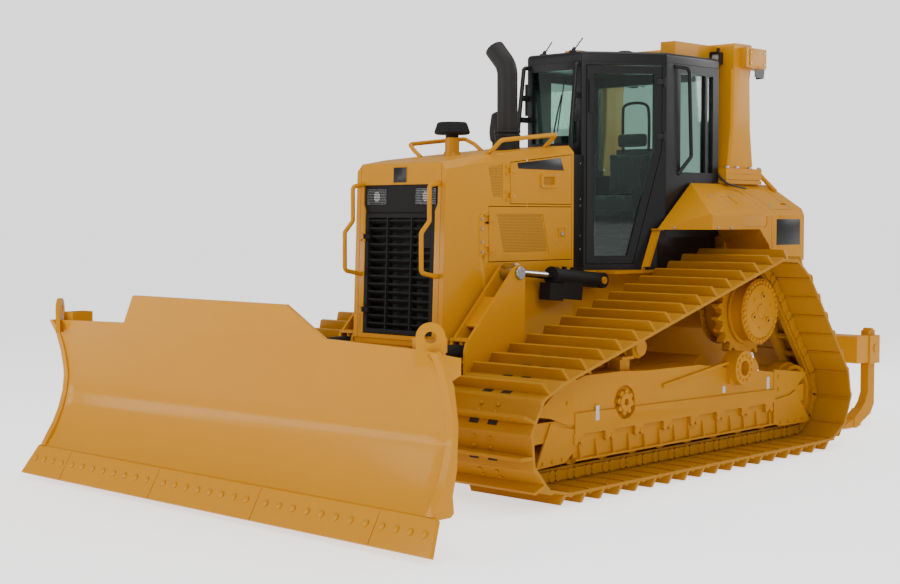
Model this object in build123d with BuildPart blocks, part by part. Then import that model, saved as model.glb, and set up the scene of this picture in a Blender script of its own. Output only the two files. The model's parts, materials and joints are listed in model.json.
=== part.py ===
"""Wide-track crawler tractor with an angling, tilting blade and a three-shank ripper.

Millimetres. +X is forward, +Y is the machine's left, +Z is up, and the origin is on the
ground under the middle of the machine. Outlines named *_side hold (x, z) points, outlines
named *_plan hold (x, y) points and outlines named *_front hold (y, z) points.
"""
import os
from math import atan2, cos, hypot, pi, sin, tan, radians

from build123d import *

os.makedirs("parts", exist_ok=True)

# ---------------------------------------------------------------- driving sizes
gap = 5                      # between pieces that move past each other
pin_gap = 0.5                # round a pin that turns

# tracks; side distances named *_off are measured from the middle of a track
track_gauge = 2160
shoe_width = 840
shoe_count = 46
shoe_thickness = 20
shoe_lip = 12                # each shoe's rear lip stands this far over the plate
lip_run = 34
grouser_height = 70
grouser_thickness = 24
grouser_place = 0.76         # along the shoe, as a share of the pitch
grouser_corner = 38          # cut off each end of a grouser's tip
chain_depth = 64             # the pins lie this far under the shoes' outer faces
link_low = 56                # the rails reach this far under the pins
rail_off = (62, 108)
bush_half = 24
teeth = 23                   # two for each link, less the one that makes them hunt
tooth_tip = 20               # the teeth's tips stand this far outside the pins
sprocket_place = (-1050, 1130)
sprocket_off = 35
front_idler_x = 1620
rear_idler_x = -1670
idler_wrap = 366             # shoe plates' outer radius round the idlers
roller_r = 92
roller_count = 8
roller_pitch = 340
first_roller_x = -1180
carrier_place = (450, 78)    # x and radius

# track frames
beam_off = (-150, 165)
ledge_off = 177
beam_foot_z = 402
yoke_off = (126.5, 158)
skirt_off = (138, 152)
skirt_foot_z = 236
skirt_flange = 178
rib_count = 14
pivot_place = (-720, 715)
pivot_r = 130
cover_place = (680, 575)
cover_r = 118

# main frame
frame_half = 400
belly_z = 450
deck_z = 1000
case_top_z = 1450
frame_front_x = 1600
frame_rear_x = -1960
case_front_x = 230

# hood and guard
hood_half = 440
hood_wall = 12
engine_hinge_x = 1198
low_hinges = (1630, 1845)
high_hinges = (2010, 2190)
grille_hinge_y = -335
grille_hinges = (1200, 1720)
grille_out = 14              # the grille door's hinge line stands this far off the guard's face
hood_shoulder = 50
hood_rear = (250, 2392)
hood_front = (1393, 2273)
guard_seam = ((1383, 2004), (1206, 1936))
guard_top_x = 1630
guard_top_z = 2235
guard_foot_x = 1680
grille_half = 340
grille_z = (1035, 1885)
door_seam_low = 1540
door_seam_high = 1936
upper_hinge_x = 970
upper_top = (2325, 2250)      # top edge heights at the rear and at the hinge
upper_low = 1950

# cab
cab_front = (-50, 270)       # x, half width at the windscreen
cab_side = (-585, 680)       # x, half width where the door is hinged
cab_rear_x = -1330
cab_wall = 50
cab_floor_z = 1450
cab_roof_z = 3050
roof_thickness = 80
roof_round = 32
cab_corner = 26
side_windows = ((cab_rear_x + 100, -1152), (-1124, -780))
door_floor_z = 1500

# side tanks
tank_in = 700
tank_out = 1100
tank_rear_x = -2050

# cylinders
barrel_share = 0.56          # a barrel's length as a share of the run between the pins
foot_eye = 30                # wall round the foot pin
bore_floor = 8               # between the foot eye and the bore's end
bore_gap = 0.05              # round the rod in its barrel

# blade arms
trunnion = (300, 620)        # x, z of the arms' pivots
arm_in = 500
arm_out = 620
tower_pin = (1100, 1467)
lift_foot = (100, 1385)
swivel_x = 2720
angle_foot = (1600, 560)     # x, y
angle_lug = (2880, 400)      # x, y
angle_z = 950
tilt_axis_z = 620
tilt_foot_y = -300
tilt_lug_y = 300
tilt_z = 1000
tilt_x = 3030

# blade
blade_half = 1943            # at the foot; the ends lean in by blade_lean up to the shoulder
blade_lean = 37
edge_half = 2033             # at the cutting edge's tip, and edge_top_half where it meets the foot
edge_top_half = 1970
blade_foot = (3310, 237)
blade_low = (3300, 215)      # the corner where the edge sits under the mouldboard
edge_tip_z = 34
blade_belly = (3130, 723)
blade_top = (3352, 1345)
blade_plate = 25
shoulder_z = 1130
crown = (765, 1000)          # half widths of the raised middle at its top and its foot
strip_width = 52
strip_height = 14
end_bit_y = 1543

# ripper
ripper_low = (-2150, 520)
ripper_high_rise = 330
ripper_link = (-780, 100)    # x and z from a link's front pin to its rear pin
beam_half = 1030
shank_y = 975


# ---------------------------------------------------------------- helpers
def side_slab(outline, y_low, y_high, mode=Mode.ADD):
    """Extrude a closed outline of x and z points from one y to another."""
    with BuildSketch(Plane.XZ.offset(-y_high)) as profile:
        with BuildLine():
            Polyline(*outline, close=True)
        make_face()
    extrude(profile.sketch, amount=y_high - y_low, mode=mode)


def plan_slab(outline, z_low, z_high, mode=Mode.ADD):
    """Extrude a closed outline of x and y points from one height to another."""
    with BuildSketch(Plane.XY.offset(z_low)) as profile:
        with BuildLine():
            Polyline(*outline, close=True)
        make_face()
    extrude(profile.sketch, amount=z_high - z_low, mode=mode)


def front_slab(outline, x_low, x_high, mode=Mode.ADD):
    """Extrude a closed outline of y and z points from one x to another."""
    with BuildSketch(Plane.YZ.offset(x_low)) as profile:
        with BuildLine():
            Polyline(*outline, close=True)
        make_face()
    extrude(profile.sketch, amount=x_high - x_low, mode=mode)


def block(x, y, z, mode=Mode.ADD):
    """Add a box that spans three (low, high) pairs."""
    with BuildSketch(Plane.XY.offset(z[0])) as profile:
        with Locations(((x[0] + x[1]) / 2, (y[0] + y[1]) / 2)):
            Rectangle(x[1] - x[0], y[1] - y[0])
    extrude(profile.sketch, amount=z[1] - z[0], mode=mode)


def bar(start, end, radius, mode=Mode.ADD):
    """Add a round bar from one point to another."""
    axis = Vector(*end) - Vector(*start)
    with BuildSketch(Plane(origin=start, z_dir=axis)) as profile:
        Circle(radius)
    extrude(profile.sketch, amount=axis.length, mode=mode)


def rail(points, radius, bend):
    """Add a round rail along straight runs with rounded corners."""
    with BuildLine() as path:
        FilletPolyline(*points, radius=bend)
    with BuildSketch(Plane(origin=path.line @ 0, z_dir=path.line % 0)) as profile:
        Circle(radius)
    sweep(profile.sketch, path=path.line)


def save(builder, name):
    """Label a finished piece and write its file."""
    builder.part.label = name
    export_step(builder.part, f"parts/{name}.step")


def y_span(side, low, high):
    """A (low, high) pair of y values on the given side of the machine."""
    return (low, high) if side > 0 else (-high, -low)


def wrapped(circles):
    """Tangent outline round three circles (x, z, radius) as line and arc steps.

    Returns a list of (start angle, end angle, x, z, radius), going round clockwise.
    """
    steps = []
    count = len(circles)
    leave = []
    for i in range(count):
        x0, z0, r0 = circles[i]
        x1, z1, r1 = circles[(i + 1) % count]
        heading = atan2(z1 - z0, x1 - x0)
        lean = (r0 - r1) / hypot(x1 - x0, z1 - z0)
        leave.append(heading + pi / 2 - lean)
    for i in range(count):
        x, z, r = circles[i]
        arrive = leave[i - 1]
        depart = leave[i]
        while depart > arrive:
            depart -= 2 * pi
        steps.append((arrive, depart, x, z, r))
    return steps


SIDES = ((1, "l"), (-1, "r"))

hinge_out = 9                # a hinge's axis stands this far off its wall
hinge_pin = 5


def hinge(side, axis_x, wall_y, z, to_x, moving):
    """A knuckle with its strap on a side wall, or the pin and two lugs that hold it."""
    spans = ((z - 18, z + 18),) if moving else ((z - 34, z - 19), (z + 19, z + 34))
    y = side * (wall_y + hinge_out)
    for low, high in spans:
        bar((axis_x, y, low), (axis_x, y, high), hinge_out)
        block((min(axis_x, to_x), max(axis_x, to_x)), y_span(side, wall_y, wall_y + hinge_out), (low, high))
    if moving:
        bar((axis_x, y, z - 19), (axis_x, y, z + 19), hinge_pin + pin_gap, Mode.SUBTRACT)
    else:
        bar((axis_x, y, z - 34), (axis_x, y, z + 34), hinge_pin)


def turned(x, z, outline, mode=Mode.ADD):
    """Revolve an outline of y and radius points about a cross-wise axis at x and z."""
    with BuildSketch(Plane.YZ.offset(x)) as profile:
        with BuildLine():
            Polyline(*[(y, z + r) for y, r in outline], close=True)
        make_face()
    revolve(profile.sketch, axis=Axis((x, 0, z), (0, 1, 0)), mode=mode)


def upright(x, y, outline, mode=Mode.ADD):
    """Revolve an outline of radius and z points about a vertical axis at x and y."""
    with BuildSketch(Plane.XZ.offset(-y)) as profile:
        with BuildLine():
            Polyline(*[(x + r, z) for r, z in outline], close=True)
        make_face()
    revolve(profile.sketch, axis=Axis((x, y, 0), (0, 0, 1)), mode=mode)


# ---------------------------------------------------------------- tracks
track_mid = track_gauge / 2
track_inner = track_mid - shoe_width / 2
idler_z = grouser_height + idler_wrap
sprocket_x, sprocket_z = sprocket_place


def wheel_circles(sprocket_r):
    """The pin line's circles round the sprocket and the two idlers."""
    return (
        (sprocket_x, sprocket_z, sprocket_r),
        (front_idler_x, idler_z, idler_wrap - chain_depth),
        (rear_idler_x, idler_z, idler_wrap - chain_depth),
    )


def loop_points(circles, arc_step=radians(3)):
    """Points of the tangent loop round the circles."""
    points = []
    for arrive, depart, x, z, r in wrapped(circles):
        pieces = max(1, round((arrive - depart) / arc_step))
        for k in range(pieces + 1):
            a = arrive + (depart - arrive) * k / pieces
            points.append((x + r * cos(a), z + r * sin(a)))
    return points


def loop_length(points):
    """Length of a closed line of points."""
    return sum(hypot(b[0] - a[0], b[1] - a[1]) for a, b in zip(points, points[1:] + points[:1]))


# the sprocket's pin circle holds its teeth at half the chain's pitch, so size and pitch settle together
sprocket_r = 360.0
for _ in range(20):
    pitch = loop_length(loop_points(wheel_circles(sprocket_r))) / shoe_count
    sprocket_r = teeth * pitch / (4 * pi)
pin_line = loop_points(wheel_circles(sprocket_r))


def pin_place(number):
    """Where a pin lies on the loop, counted from where the chain meets the sprocket."""
    distance = (number % shoe_count) * pitch
    for a, b in zip(pin_line, pin_line[1:] + pin_line[:1]):
        run = hypot(b[0] - a[0], b[1] - a[1])
        if distance <= run:
            share = distance / run
            return Vector(a[0] + (b[0] - a[0]) * share, 0, a[1] + (b[1] - a[1]) * share)
        distance -= run
    return Vector(pin_line[0][0], 0, pin_line[0][1])


def links():
    """Each link's rear pin, front pin, direction of travel and outward direction."""
    for k in range(shoe_count):
        rear, front = pin_place(k), pin_place(k + 1)
        along = (front - rear).normalized()
        yield rear, front, along, Vector(-along.Z, 0, along.X)


def pin_offset(reach):
    """The closed outline that runs at one distance outside the pins' links."""
    outline = []
    before = list(links())[-1][3]
    for rear, _, _, out in links():
        middle = (before + out).normalized()
        corner = rear + middle * (reach / middle.dot(out))
        outline.append((corner.X, corner.Z))
        before = out
    return outline


with BuildPart() as track:
    shoes = []
    for rear, front, along, out in links():
        for corner in (rear + out * (chain_depth + shoe_lip), rear + out * chain_depth + along * lip_run,
                       front + out * chain_depth - along * 3):
            shoes.append((corner.X, corner.Z))
    side_slab(shoes, track_inner, track_inner + shoe_width)
    side_slab(pin_offset(chain_depth - shoe_thickness), track_inner - gap, track_inner + shoe_width + gap,
              Mode.SUBTRACT)
    tip = shoe_width / 2 - grouser_corner
    for rear, front, along, out in links():
        foot = rear + along * (pitch * grouser_place) + out * (chain_depth - 1) + Vector(0, track_mid, 0)
        with BuildSketch(Plane(origin=foot, x_dir=(0, 1, 0), z_dir=along)) as grouser:
            with BuildLine():
                Polyline((-shoe_width / 2, 0), (shoe_width / 2, 0), (tip, grouser_height + 1),
                         (-tip, grouser_height + 1), close=True)
            make_face()
        extrude(grouser.sketch, amount=grouser_thickness / 2, both=True)
with BuildPart() as chain:
    for hand in (1, -1):
        low, high = sorted((track_mid + hand * rail_off[0], track_mid + hand * rail_off[1]))
        side_slab(pin_offset(chain_depth - shoe_thickness + 2), low, high)
        side_slab(pin_offset(-link_low), low, high, Mode.SUBTRACT)
    for rear, _, along, out in links():
        with BuildSketch(Plane(origin=rear + Vector(0, track_mid - rail_off[0] - 5, 0),
                               x_dir=along, z_dir=(0, 1, 0))) as bush:
            RegularPolygon(bush_half, 6)
        extrude(bush.sketch, amount=2 * rail_off[0] + 10)
with BuildPart() as track_l:
    add(track.part)
    add(chain.part)
save(track_l, "track_l")
with BuildPart() as track_r:
    mirror(track_l.part, about=Plane.XZ)
save(track_r, "track_r")

half_link = pitch / 2
idler_tread = ((idler_wrap - chain_depth) ** 2 - half_link ** 2) ** 0.5 - link_low - 1.5
idler_outline = (
    (-rail_off[1], idler_tread), (-52, idler_tread), (-46, idler_tread + 17), (46, idler_tread + 17),
    (52, idler_tread), (rail_off[1], idler_tread), (rail_off[1], idler_tread - 34), (45, idler_tread - 52),
    (38, 92), (126, 78), (126, 0), (-126, 0), (-126, 78), (-38, 92), (-45, idler_tread - 52),
    (-rail_off[1], idler_tread - 34),
)
with BuildPart() as idlers:
    for x in (front_idler_x, rear_idler_x):
        for side, _ in SIDES:
            turned(x, idler_z, [(side * track_mid + y, r) for y, r in idler_outline])
save(idlers, "idlers")

# ---------------------------------------------------------------- main frame
with BuildPart() as main_frame:
    side_slab(
        (
            (frame_rear_x, 560), (frame_rear_x, 1250), (-1800, case_top_z), (case_front_x, case_top_z),
            (case_front_x, deck_z), (frame_front_x, deck_z), (frame_front_x, 640),
            (1300, belly_z), (-1700, belly_z),
        ),
        -frame_half, frame_half,
    )
    block((case_front_x - 10, frame_front_x + 70), (-hood_half, hood_half), (deck_z - 40, deck_z))
    # pivot shafts, equalizer bar and blade-arm trunnions
    beam_inner = track_mid + beam_off[0]
    bar((pivot_place[0], -beam_inner, 700), (pivot_place[0], beam_inner, 700), 90)
    block((-110, 10), (-beam_inner, beam_inner), (520, 640))
    bar((trunnion[0], -arm_out - 20, trunnion[1]), (trunnion[0], arm_out + 20, trunnion[1]), 60)
    # brackets that carry the lift cylinders' feet
    for side, _ in SIDES:
        block((20, 180), y_span(side, frame_half, 480), (1300, case_top_z))
        bar((lift_foot[0], side * frame_half, lift_foot[1]), (lift_foot[0], side * 625, lift_foot[1]), 28)
save(main_frame, "main_frame")

with BuildPart() as engine_block:
    block((400, 1150), (-260, 260), (deck_z, 1900))
save(engine_block, "engine_block")

# ---------------------------------------------------------------- guard and hood
guard_side = (
    (guard_seam[1][0], deck_z), guard_seam[1], guard_seam[0], hood_front,
    (guard_top_x, guard_top_z), (guard_foot_x, deck_z),
)
guard_wall = 20
lamp_z = (grille_z[1] + gap, 2085)
lamp_half = 368
lamp_front = ((-lamp_half, lamp_z[1]), (lamp_half, lamp_z[1]), (lamp_half, 1950), (grille_half, lamp_z[0]),
              (-grille_half, lamp_z[0]), (-lamp_half, 1950))
rake = (guard_foot_x - guard_top_x) / (guard_top_z - deck_z)


def guard_x(z):
    """The guard's front face at a height."""
    return guard_foot_x - rake * (z - deck_z)


def grille_axis(z):
    """A point on the grille door's raked hinge line."""
    return guard_x(z) + grille_out, grille_hinge_y, z


with BuildPart() as radiator_guard:
    side_slab(guard_side, -hood_half, hood_half)
    chamfer(
        radiator_guard.edges().filter_by(lambda e: abs(abs(e.center().Y) - hood_half) < 1)
        .filter_by(lambda e: e.center().Z > 2240 and e.length > 200),
        hood_shoulder,
    )
    block((1000, guard_foot_x - 90), (-hood_half + guard_wall, hood_half - guard_wall),
          (deck_z - 1, 2200), Mode.SUBTRACT)
    block((1000, guard_foot_x + 50), (-grille_half - gap, grille_half + gap),
          (grille_z[0] - gap, grille_z[1] + gap), Mode.SUBTRACT)
    front_slab(lamp_front, 1500, guard_foot_x + 50, Mode.SUBTRACT)
    for y in (-hood_half + 42, hood_half - 42):
        side_slab(((guard_x(2300) - 4, 2300), (guard_x(2300) + 20, 2300), (guard_foot_x + 20, deck_z),
                   (guard_foot_x - 4, deck_z)), y - 2, y + 2, Mode.SUBTRACT)
    side_slab(((guard_x(2098) - 3, 2098), (guard_x(2098) + 4, 2098), (guard_x(2208) + 4, 2208),
               (guard_x(2208) - 3, 2208)), -66, 66)
    for side, _ in SIDES:
        side_slab(((1246, 1590), (1300, 1590), (1300, 1870), (1246, 1870)),
                  *y_span(side, hood_half - 1, hood_half + 3))
        for z in low_hinges:
            hinge(side, engine_hinge_x, hood_half, z, 1245, False)
    for z in grille_hinges:
        for low, high in ((z - 34, z - 19), (z + 19, z + 34)):
            bar(grille_axis(low), grille_axis(high), hinge_out)
            block((guard_x(z) - 3, guard_x(z) + grille_out),
                  (grille_hinge_y - 40, grille_hinge_y - 12), (low, high))
            block((guard_x(z) + 5, guard_x(z) + grille_out),
                  (grille_hinge_y - 15, grille_hinge_y), (low, high))
        bar(grille_axis(z - 34), grille_axis(z + 34), hinge_pin)
save(radiator_guard, "radiator_guard")

with BuildPart() as radiator_core:
    block((1480, 1560), (-hood_half + guard_wall, hood_half - guard_wall), (deck_z, 2100))
save(radiator_core, "radiator_core")

with BuildPart() as lamp_panel:
    side_slab(((1598, lamp_z[0]), (guard_x(lamp_z[0]) - 12, lamp_z[0]),
               (guard_x(lamp_z[1]) - 12, lamp_z[1]), (1598, lamp_z[1])), -lamp_half, lamp_half)
    front_slab(lamp_front, 1590, guard_foot_x, Mode.INTERSECT)
    for side, _ in SIDES:
        # a lamp behind a folded guard on each side
        block((1600, 1660), y_span(side, 150, 335), (1942, 2062), Mode.SUBTRACT)
        block((1600, 1628), y_span(side, 175, 310), (1950, 2054))
        side_slab(((guard_x(1945) - 16, 1945), (guard_x(1945) - 10, 1945), (guard_x(2060) - 10, 2060),
                   (guard_x(2060) - 16, 2060)), *y_span(side, 140, 345))
save(lamp_panel, "lamp_panel")

grille_rim = 32
grille_bays = ((-grille_half + grille_rim, -126), (-114, 114), (126, grille_half - grille_rim))
slat_count = 14
slat_pitch = (grille_z[1] - grille_z[0] - 2 * grille_rim) / slat_count
with BuildPart() as grille_door:
    x_back = 1600
    side_slab(
        ((x_back, grille_z[0]), (guard_x(grille_z[0]), grille_z[0]),
         (guard_x(grille_z[1]), grille_z[1]), (x_back, grille_z[1])),
        -grille_half, grille_half,
    )
    for low, high in grille_bays:
        block((x_back - 10, 1720), (low, high), (grille_z[0] + grille_rim, grille_z[1] - grille_rim),
              Mode.SUBTRACT)
    for k in range(slat_count):
        z = grille_z[0] + grille_rim + slat_pitch * (k + 0.5)
        front = guard_x(z) - 8
        for low, high in grille_bays:
            side_slab(((front - 40, z - 16), (front - 30, z - 19), (front, z + 6), (front, z + 16),
                       (front - 5, z + 16), (front - 5, z + 9)), low, high)
    z = 1710
    side_slab(((guard_x(z - 65) - 10, z - 65), (guard_x(z - 65), z - 65), (guard_x(z + 65), z + 65),
               (guard_x(z + 65) - 10, z + 65)), 236, 306)
    for z in grille_hinges:
        bar(grille_axis(z - 18), grille_axis(z + 18), hinge_out)
        block((guard_x(z) - 3, guard_x(z) + grille_out),
              (grille_hinge_y, grille_hinge_y + 50), (z - 17, z + 17))
        bar(grille_axis(z - 19), grille_axis(z + 19), hinge_pin + pin_gap, Mode.SUBTRACT)
save(grille_door, "grille_door")

hood_side = (
    (hood_rear[0], deck_z), hood_rear, hood_front, guard_seam[0], guard_seam[1],
    (guard_seam[1][0], deck_z),
)
def hood_top(x):
    """Height of the hood's top at a place along the machine."""
    share = (x - hood_rear[0]) / (hood_front[0] - hood_rear[0])
    return hood_rear[1] + share * (hood_front[1] - hood_rear[1])


exhaust_x = 500
precleaner_place = (1000, -100)
precleaner_z = 2440
mesh_depth = 4
small_mesh = ((1207, 2216), (1048, 2241), (1047, 1986), (1154, 1985))
big_mesh = ((1122, 1880), (605, 1880), (536, 1594), (1046, 1596))
badge_side = ((897, 2247), (401, 2299), (365, 2199), (886, 2202))
latch_side = ((350, 1692), (452, 1692), (452, 1774), (350, 1774))
lower_door = (hood_rear[0] + 20, guard_seam[1][0] - gap)
upper_door = (hood_rear[0] + 20, upper_hinge_x)
with BuildPart() as hood:
    side_slab(hood_side, -hood_half, hood_half)
    chamfer(
        hood.edges().filter_by(lambda e: abs(abs(e.center().Y) - hood_half) < 1)
        .filter_by(lambda e: e.center().Z > 2250 and e.length > 800),
        hood_shoulder,
    )
    side_slab(
        ((hood_rear[0] - 10, 900), (hood_rear[0] - 10, hood_rear[1] - hood_wall),
         (1500, hood_front[1] - hood_wall - 8), (1500, 900)),
        -hood_half + hood_wall + hood_shoulder, hood_half - hood_wall - hood_shoulder, Mode.SUBTRACT,
    )
    side_slab(
        ((hood_rear[0] - 10, 900), (hood_rear[0] - 10, hood_rear[1] - hood_wall - hood_shoulder),
         (1500, hood_front[1] - hood_wall - hood_shoulder - 8), (1500, 900)),
        -hood_half + hood_wall, hood_half - hood_wall, Mode.SUBTRACT,
    )
    block(lower_door, (-500, 500), (door_seam_low, door_seam_high), Mode.SUBTRACT)
    side_slab(
        ((upper_door[0], upper_low), (upper_door[0], upper_top[0]),
         (upper_door[1], upper_top[1]), (upper_door[1], upper_low)),
        -500, 500, Mode.SUBTRACT,
    )
    for side, _ in SIDES:
        for z in high_hinges:
            hinge(side, upper_hinge_x + 2, hood_half, z, upper_hinge_x + 50, False)
        side_slab(small_mesh, *y_span(side, hood_half - mesh_depth, hood_half + 1), Mode.SUBTRACT)
    px, py = precleaner_place
    bar((px, py, hood_top(px) - 8), (px, py, precleaner_z), 53)
    bar((px, py, hood_top(px) - 8), (px, py, hood_top(px) + 22), 62)
save(hood, "hood")

for side, hand in SIDES:
    low, high = y_span(side, hood_half - hood_wall, hood_half)
    with BuildPart() as lower:
        block((lower_door[0] + gap, lower_door[1] - gap), (low, high),
              (door_seam_low + gap, door_seam_high - gap))
        for z in low_hinges:
            hinge(side, engine_hinge_x, hood_half, z, engine_hinge_x - 50, True)
        side_slab(big_mesh, *y_span(side, hood_half - mesh_depth, hood_half + 1), Mode.SUBTRACT)
        side_slab(latch_side, *y_span(side, hood_half - mesh_depth, hood_half + 1), Mode.SUBTRACT)
        block((418, 448), y_span(side, hood_half - 9, hood_half + 1), (1697, 1769), Mode.SUBTRACT)
        bar((384, side * (hood_half - 5), 1733), (384, side * (hood_half + 3), 1733), 11)
    save(lower, f"engine_door_{hand}")
    with BuildPart() as upper:
        side_slab(
            ((upper_door[0] + gap, upper_low + gap), (upper_door[0] + gap, upper_top[0] - gap),
             (upper_door[1] - gap, upper_top[1] - gap), (upper_door[1] - gap, upper_low + gap)),
            low, high,
        )
        for z in high_hinges:
            hinge(side, upper_hinge_x + 2, hood_half, z, upper_hinge_x - 50, True)
        side_slab(badge_side, *y_span(side, hood_half - 1, hood_half + 2))
        with BuildSketch(Plane(origin=(538, side * hood_half, 2122), x_dir=(1, 0, -0.03),
                               z_dir=(0, side, 0))) as bezel:
            RectangleRounded(196, 100, 22)
        extrude(bezel.sketch, amount=9)
        with BuildSketch(Plane(origin=(544, side * (hood_half + 9), 2122), x_dir=(1, 0, -0.03),
                               z_dir=(0, side, 0))) as inlet:
            RectangleRounded(126, 62, 10)
        extrude(inlet.sketch, amount=-15, mode=Mode.SUBTRACT)
    save(upper, f"upper_door_{hand}")

with BuildPart() as hood_rails:
    for side, _ in SIDES:
        rail(((1100, side * 320, 2298), (1090, side * 400, 2350), (1085, side * 455, 2400),
              (780, side * 460, 2432), (480, side * 455, 2462), (450, side * 380, 2420),
              (445, side * 310, 2366)), 16, 28)
        rail(((guard_x(2090) - 2, side * 380, 2090), (1735, side * 380, 2075), (1735, side * 380, 1830),
              (1815, side * 380, 1750), (1815, side * 380, 1480),
              (guard_x(1450) - 2, side * 380, 1450)), 16, 30)
    side_slab(hood_side, -hood_half, hood_half, Mode.SUBTRACT)
    side_slab(guard_side, -hood_half, hood_half, Mode.SUBTRACT)
save(hood_rails, "hood_rails")


with BuildPart() as exhaust:
    bar((exhaust_x, 0, hood_top(exhaust_x) - 30), (exhaust_x, 0, 2470), 95)
    for z in (2470, 2500):
        bar((exhaust_x, 0, z - 9), (exhaust_x, 0, z + 9), 100)
    rail(((exhaust_x, 0, 2465), (exhaust_x, 0, 2985), (exhaust_x, -130, 3129)), 77, 170)
    upright(360, -180, ((0, 2330), (74, 2330), (74, 2430), (90, 2446), (96, 2500), (94, 2540), (80, 2640),
                        (70, 2652), (46, 2664), (0, 2668)))
    side_slab(hood_side, -hood_half, hood_half, Mode.SUBTRACT)
save(exhaust, "exhaust")

with BuildPart() as precleaner:
    px, py = precleaner_place
    upright(px, py, ((0, precleaner_z), (48, precleaner_z), (48, 2462), (120, 2462), (132, 2473),
                     (132, 2482), (110, 2546), (98, 2553), (0, 2555)))
save(precleaner, "precleaner")

# ---------------------------------------------------------------- cab
cab_plan = (
    (cab_front[0], cab_front[1]), (cab_side[0], cab_side[1]), (cab_rear_x, cab_side[1]),
    (cab_rear_x, -cab_side[1]), (cab_side[0], -cab_side[1]), (cab_front[0], -cab_front[1]),
)
door_run = Vector(cab_front[0] - cab_side[0], cab_front[1] - cab_side[1])
door_length = door_run.length
door_along = door_run.normalized()
door_in = Vector(door_along.Y, -door_along.X, 0)
door_margin = (35, 45)       # from the hinge edge, from the front edge
door_outline = (
    (door_margin[0], 3020), (door_length - door_margin[1], 3020),
    (door_length - door_margin[1], door_floor_z),
    (260, door_floor_z), (door_margin[0], 2380),
)
window_inset = 60


def door_solid(side, outline, inset, depth_low, depth_high):
    """A slab on a door's plane: along the wall, up, and depth inwards from its outer face."""
    with BuildSketch(Plane.XY) as profile:
        with BuildLine():
            Polyline(*outline, close=True)
        make_face()
        if inset:
            offset(amount=-inset, mode=Mode.REPLACE)
    wall = Plane(origin=(cab_side[0], cab_side[1], 0), x_dir=(door_along.X, door_along.Y, 0), z_dir=door_in)
    face = wall.offset(depth_low) * profile.sketch
    solid = extrude(face, amount=depth_high - depth_low, dir=door_in, mode=Mode.PRIVATE)
    return solid if side > 0 else mirror(solid, about=Plane.XZ, mode=Mode.PRIVATE)


hinge_along = 15             # the door hinge's axis along the door's plane
cab_hinge = Vector(*cab_side) + door_along * hinge_along - door_in * hinge_out
cab_hinges = (2480, 2900)


def cab_hinge_part(side, z, moving):
    """One cab door hinge's knuckle and strap, or its pin and lugs."""
    spans = ((z - 18, z + 18),) if moving else ((z - 34, z - 19), (z + 19, z + 34))
    reach = hinge_along + 60 if moving else 0
    for low, high in spans:
        bar((cab_hinge.X, side * cab_hinge.Y, low), (cab_hinge.X, side * cab_hinge.Y, high), hinge_out)
        strap = ((hinge_along, low), (reach, low), (reach, high), (hinge_along, high))
        add(door_solid(side, strap, 0, -hinge_out, 0))
    if moving:
        bar((cab_hinge.X, side * cab_hinge.Y, z - 19), (cab_hinge.X, side * cab_hinge.Y, z + 19),
            hinge_pin + pin_gap, Mode.SUBTRACT)
    else:
        bar((cab_hinge.X, side * cab_hinge.Y, z - 34), (cab_hinge.X, side * cab_hinge.Y, z + 34), hinge_pin)


with BuildSketch() as inside_plan:
    with BuildLine():
        Polyline(*cab_plan, close=True)
    make_face()
    offset(amount=-cab_wall, mode=Mode.REPLACE)
cab_inside = [((e @ 0).X, (e @ 0).Y) for e in inside_plan.sketch.faces()[0].outer_wire().order_edges()]

with BuildPart() as cab_frame:
    with BuildSketch(Plane.XY.offset(cab_floor_z)) as ring:
        with BuildLine():
            Polyline(*cab_plan, close=True)
        make_face()
        fillet(ring.vertices(), cab_corner)
        with BuildLine():
            Polyline(*cab_inside, close=True)
        make_face(mode=Mode.SUBTRACT)
    extrude(ring.sketch, amount=cab_roof_z - cab_floor_z)
    for low, high in side_windows:
        block((low, high), (-900, 900), (2210, 2980), Mode.SUBTRACT)
    block((-120, 20), (-cab_front[1] + 45, cab_front[1] - 45), (2430, 2990), Mode.SUBTRACT)
    block((cab_rear_x - 50, cab_rear_x + 100), (-520, 520), (2210, 2960), Mode.SUBTRACT)
    for side, _ in SIDES:
        add(door_solid(side, door_outline, -gap, -30, cab_wall + 30), mode=Mode.SUBTRACT)
        block((cab_rear_x - 50, -400), y_span(side, track_inner - 20, 800),
              (cab_floor_z - 10, 1700), Mode.SUBTRACT)
        for z in cab_hinges:
            cab_hinge_part(side, z, False)
        rail(((-700, side * 676, 3030), (-812, side * 738, 3016), (-846, side * 738, 2330),
              (-752, side * 676, 2192)), 15, 40)
        rail(((-54, side * 252, 3030), (4, side * 262, 3026), (72, side * 268, 2500),
              (72, side * 268, 2330)), 17, 26)
        for z in (2620, 2790):
            block((-60, 38), y_span(side, 252, 268), (z - 22, z + 22))
save(cab_frame, "cab_frame")

for side, hand in SIDES:
    with BuildPart() as door:
        add(door_solid(side, door_outline, 0, 0, cab_wall))
        add(door_solid(side, door_outline, window_inset, -10, cab_wall + 10), mode=Mode.SUBTRACT)
        for z in cab_hinges:
            cab_hinge_part(side, z, True)
        far = door_length - door_margin[1]
        handle = ((far - 48, 2660), (far - 14, 2660), (far - 14, 2910), (far - 48, 2910))
        add(door_solid(side, handle, 0, -24, 1))
    save(door, f"cab_door_{hand}")
    with BuildPart() as pane:
        add(door_solid(side, door_outline, window_inset, 20, 28))
    save(pane, f"door_glass_{hand}")

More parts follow.
